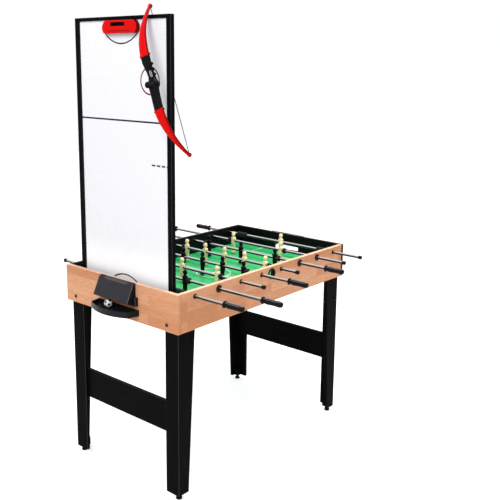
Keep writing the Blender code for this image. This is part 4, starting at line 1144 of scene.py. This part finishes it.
def limb_middle(share, way):
    """A point on a limb's middle line, which bends back towards its tip."""
    root = RISER_SHIFT + way * RISER_LENGTH / 2
    rise = root + share * (way * BOW_CHORD / 2 - root)
    return Vector((-BOW_DEPTH * (1 - share ** 2), 0.0, rise))


def limb_piece(name, way):
    shape = bmesh.new()
    rings = []
    for share, half_width, half_depth in LIMB_ROWS:
        ahead = (limb_middle(share + LIMB_STEP_SHARE, way) - limb_middle(share, way)).normalized()
        out = ahead.cross(Vector((0.0, 1.0, 0.0))).normalized()
        ring = []
        for point in oval_ring(0.0, 0.0, half_width, half_depth, 0.0, sides=24, fullness=LIMB_FULLNESS):
            ring.append(limb_middle(share, way) + Vector((0, 1, 0)) * point.y + out * point.x)
        rings.append(ring)
    skin_rings(shape, rings)
    bmesh.ops.create_uvsphere(shape, u_segments=24, v_segments=16, radius=LIMB_TIP_RADIUS,
                              matrix=Matrix.Translation((0.0, 0.0, way * LIMB_TIP_REACH)))
    bmesh.ops.transform(shape, matrix=BOW_PLACE, verts=shape.verts)
    limb = add_piece(name, shape, LIMB_RED, "table")
    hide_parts(name.replace("moulded", "bow"))


limb_piece("moulded_upper_limb", 1)
limb_piece("moulded_lower_limb", -1)

# The riser is the bow's grip, a waisted black moulding. An arrow guide runs
# through it, with a round stop beside it and three knobs in a row above.
GUIDE_SIDE = -0.004
GUIDE_FALL = 0.0075
# Rows are level, half width, half depth and forward offset, in millimetres
RISER_ROWS = ((-88.0, 17.0, 10.4, 0.0), (-74.0, 16.4, 11.0, 0.2), (-50.0, 15.6, 12.2, 1.2),
              (-28.0, 15.4, 13.2, 2.2), (-14.0, 16.4, 14.6, 3.2), (-6.0, 17.3, 15.6, 4.0),
              (4.0, 16.0, 15.0, 5.4), (12.0, 12.8, 12.8, 6.8), (22.0, 10.6, 11.2, 7.4),
              (38.0, 11.2, 10.9, 5.2), (54.0, 13.8, 11.0, 2.4), (70.0, 16.2, 11.0, 0.2),
              (88.0, 17.0, 10.4, 0.0))
# Rows are radius and place along the axis, in millimetres
GUIDE_ROWS = ((8.0, -30.0), (9.8, -28.6), (10.4, -26.2), (10.4, -20.0), (8.8, -18.5),
              (8.8, 10.0), (10.2, 11.5), (10.2, 18.5), (8.6, 20.0))
KNOB_ROWS = ((4.8, -2.0), (4.8, 18.6), (4.0, 20.0), (2.0, 20.7))
STOP_ROWS = ((6.0, -2.0), (6.0, 19.5), (7.4, 20.8), (7.4, 23.6), (5.2, 25.0))
KNOB_SHARES = (0.14, 0.24, 0.34)
KNOB_SETBACK = 0.0048
RISER_DEEP = (0.002, 0.002, 0.0028, 1.0)
RISER_FULLNESS = 0.72
RISER_GRIT = (500.0, 0.0002)
RISER_BLACK = plastic("riser plastic", RISER_DEEP, JET_PALE, smooth=0.3, rough=0.45, grit=RISER_GRIT,
                      shine=0.04)

riser = bmesh.new()
riser_rings = []
for level, half_width, half_depth, offset in RISER_ROWS:
    centre = Vector((-BOW_DEPTH, 0.0, RISER_SHIFT + level * MILLIMETRE))
    ring = oval_ring(0.0, 0.0, half_width, half_depth, offset, sides=24, fullness=RISER_FULLNESS)
    riser_rings.append([centre + point for point in ring])
skin_rings(riser, riser_rings)
guide_level = RISER_SHIFT - GUIDE_FALL
centre = (-BOW_DEPTH, GUIDE_SIDE, guide_level)
skin_rings(riser, turned_rings(in_metres(GUIDE_ROWS), (1, 0, 0), centre, sides=28))
for share in KNOB_SHARES:
    centre = (-BOW_DEPTH + KNOB_SETBACK, 0.0, RISER_SHIFT + share * RISER_LENGTH)
    skin_rings(riser, turned_rings(in_metres(KNOB_ROWS), (0, -1, 0), centre, sides=20))
centre = (-BOW_DEPTH + KNOB_SETBACK, 0.0, guide_level)
skin_rings(riser, turned_rings(in_metres(STOP_ROWS), (0, -1, 0), centre, sides=24))
bmesh.ops.transform(riser, matrix=BOW_PLACE, verts=riser.verts)
grip_riser = add_piece("moulded_riser", riser, RISER_BLACK, "table")
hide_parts("bow_riser")

# The arrow clip is a bent wire in grey plastic, at the riser's side above the
# guide: a half round at its foot and two legs that lean in. Its places are
# from the bow's middle, and from the riser's line in depth.
CLIP_RADIUS = 0.0011
CLIP_BEND_STEPS = 12
CLIP_SIDE = -0.0125
CLIP_LEG_SIDE = -0.0115
CLIP_FRONT = 0.0065
CLIP_HALF_WIDTH = 0.0035
CLIP_BEND_LEVEL = 0.013
CLIP_BEND_DROP = 0.006
CLIP_LEG_LEVELS = (0.028, 0.026)
CLIP_DULL = (0.35, 0.36, 0.37, 1.0)
CLIP_BRIGHT = (0.5, 0.51, 0.52, 1.0)
CLIP_GREY = plastic("arrow clip plastic", CLIP_DULL, CLIP_BRIGHT, smooth=0.3, rough=0.4)


def wire_piece(name, points, radius, material):
    """A round wire or cord through points."""
    curve = bpy.data.curves.new(name, "CURVE")
    curve.dimensions = "3D"
    curve.bevel_depth = radius
    curve.bevel_resolution = 3
    curve.use_fill_caps = True
    spline = curve.splines.new("POLY")
    spline.points.add(len(points) - 1)
    for target, point in zip(spline.points, points):
        target.co = (*point, 1.0)
    curve.materials.append(material)
    wire = new_object(name, curve)
    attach(wire, "table")
    return wire


clip_points = [Vector((CLIP_HALF_WIDTH - CLIP_FRONT, CLIP_LEG_SIDE, CLIP_LEG_LEVELS[0]))]
for k in range(CLIP_BEND_STEPS + 1):
    angle = math.pi * k / CLIP_BEND_STEPS
    clip_points.append(Vector((CLIP_HALF_WIDTH * math.cos(angle) - CLIP_FRONT, CLIP_SIDE,
                               CLIP_BEND_LEVEL - CLIP_BEND_DROP * math.sin(angle))))
clip_points.append(Vector((-CLIP_HALF_WIDTH - CLIP_FRONT, CLIP_LEG_SIDE, CLIP_LEG_LEVELS[1])))
riser_line = Vector((-BOW_DEPTH, 0.0, 0.0))
clip_places = [BOW_PLACE @ (riser_line + point) for point in clip_points]
wire_piece("arrow_clip", clip_places, CLIP_RADIUS, CLIP_GREY)

# The bowstring is a thin braided cord of dark polyester. It is taut between
# the balls at the limbs' tips, and the bow hangs by it.
CORD_RADIUS = 0.0013
CORD_DARK = (0.002, 0.002, 0.0025, 1.0)
CORD_PALE = (0.009, 0.009, 0.010, 1.0)
CORD_TWIST = 260.0
CORD_RELIEF = (0.4, 0.0002)
CORD_ROUGHNESS = 0.7
CORD_END_SHARE = 0.8


def braided_cord():
    material, tree, shader = new_material("braided cord")
    wave = tree.nodes.new("ShaderNodeTexWave")
    wave.bands_direction = "DIAGONAL"
    feed(tree, wave.inputs["Vector"], piece_place(tree))
    wave.inputs["Scale"].default_value = CORD_TWIST
    strand = wave.outputs["Fac"]
    dress(shader, mix_colour(tree, strand, CORD_DARK, CORD_PALE), CORD_ROUGHNESS, strand, CORD_RELIEF)
    return material


cord_reach = BOW_CHORD / 2 - LIMB_TIP_RADIUS * CORD_END_SHARE
cord_ends = [BOW_PLACE @ Vector((0.0, 0.0, way * cord_reach)) for way in (-1, 1)]
cord = wire_piece("braided_bowstring", cord_ends, CORD_RADIUS, braided_cord())
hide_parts("bowstring")

# The floor and background are plain and pale. The camera, mirrors and glass
# see them white; the object is lit by soft lamps at a plain level.
FLOOR_REACH = 9.0
FLOOR_CORNERS = ((-1, -1), (1, -1), (1, 1), (-1, 1))
FLOOR_LEVEL = -0.0005
FLOOR_WHITE = (0.86, 0.86, 0.86, 1.0)
FLOOR_GLOW = 0.6
FLOOR_ROUGHNESS = 0.9
BACKDROP_WHITE = (1.0, 1.0, 1.0, 1.0)
WORLD_LEVEL = 0.62
# Each lamp's name, place, the point it looks at, its width and its power
LAMPS = (("key", (-3.2, -1.0, 3.4), (0.0, 0.0, 0.8), 2.2, 95.0),
         ("fill", (1.2, -3.4, 2.2), (0.0, 0.0, 0.7), 2.4, 17.0),
         ("top", (0.5, -0.5, 3.2), (0.1, 0.0, 0.7), 1.2, 60.0))

floor_mesh = bmesh.new()
floor_mesh.faces.new([floor_mesh.verts.new((x * FLOOR_REACH, y * FLOOR_REACH, FLOOR_LEVEL))
                      for x, y in FLOOR_CORNERS])
floor_data = bpy.data.meshes.new("floor")
floor_mesh.to_mesh(floor_data)
floor_mesh.free()
floor = new_object("floor", floor_data)
floor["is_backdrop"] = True


def seen_directly(tree):
    """1 for rays from the camera, a mirror or glass, otherwise 0."""
    rays = tree.nodes.new("ShaderNodeLightPath").outputs
    seen = maths(tree, "MAXIMUM", rays["Is Camera Ray"], rays["Is Glossy Ray"])
    return maths(tree, "MAXIMUM", seen, rays["Is Transmission Ray"])


floor_material, floor_tree, floor_shader = new_material("floor paint")
floor_shader.inputs["Base Color"].default_value = FLOOR_WHITE
floor_shader.inputs["Roughness"].default_value = FLOOR_ROUGHNESS
floor_shader.inputs["Specular IOR Level"].default_value = 0.0
floor_shader.inputs["Emission Color"].default_value = BACKDROP_WHITE
feed(floor_tree, floor_shader.inputs["Emission Strength"],
     maths(floor_tree, "MULTIPLY", seen_directly(floor_tree), FLOOR_GLOW))
floor_data.materials.append(floor_material)

world = bpy.data.worlds.new("studio")
world.use_nodes = True
bpy.context.scene.world = world
background = world.node_tree.nodes["Background"]
background.inputs["Color"].default_value = BACKDROP_WHITE
feed(world.node_tree, background.inputs["Strength"],
     spread(world.node_tree, seen_directly(world.node_tree), WORLD_LEVEL, 1.0))


def soft_lamp(name, place, aim, size, power):
    data = bpy.data.lights.new(name, "AREA")
    data.shape = "DISK"
    data.size = size
    data.energy = power
    lamp = new_object(name, data)
    lamp.location = place
    lamp.rotation_euler = (Vector(aim) - Vector(place)).to_track_quat("-Z", "Y").to_euler()


for lamp_row in LAMPS:
    soft_lamp(*lamp_row)
bpy.context.scene.view_settings.view_transform = "Standard"

low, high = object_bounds()
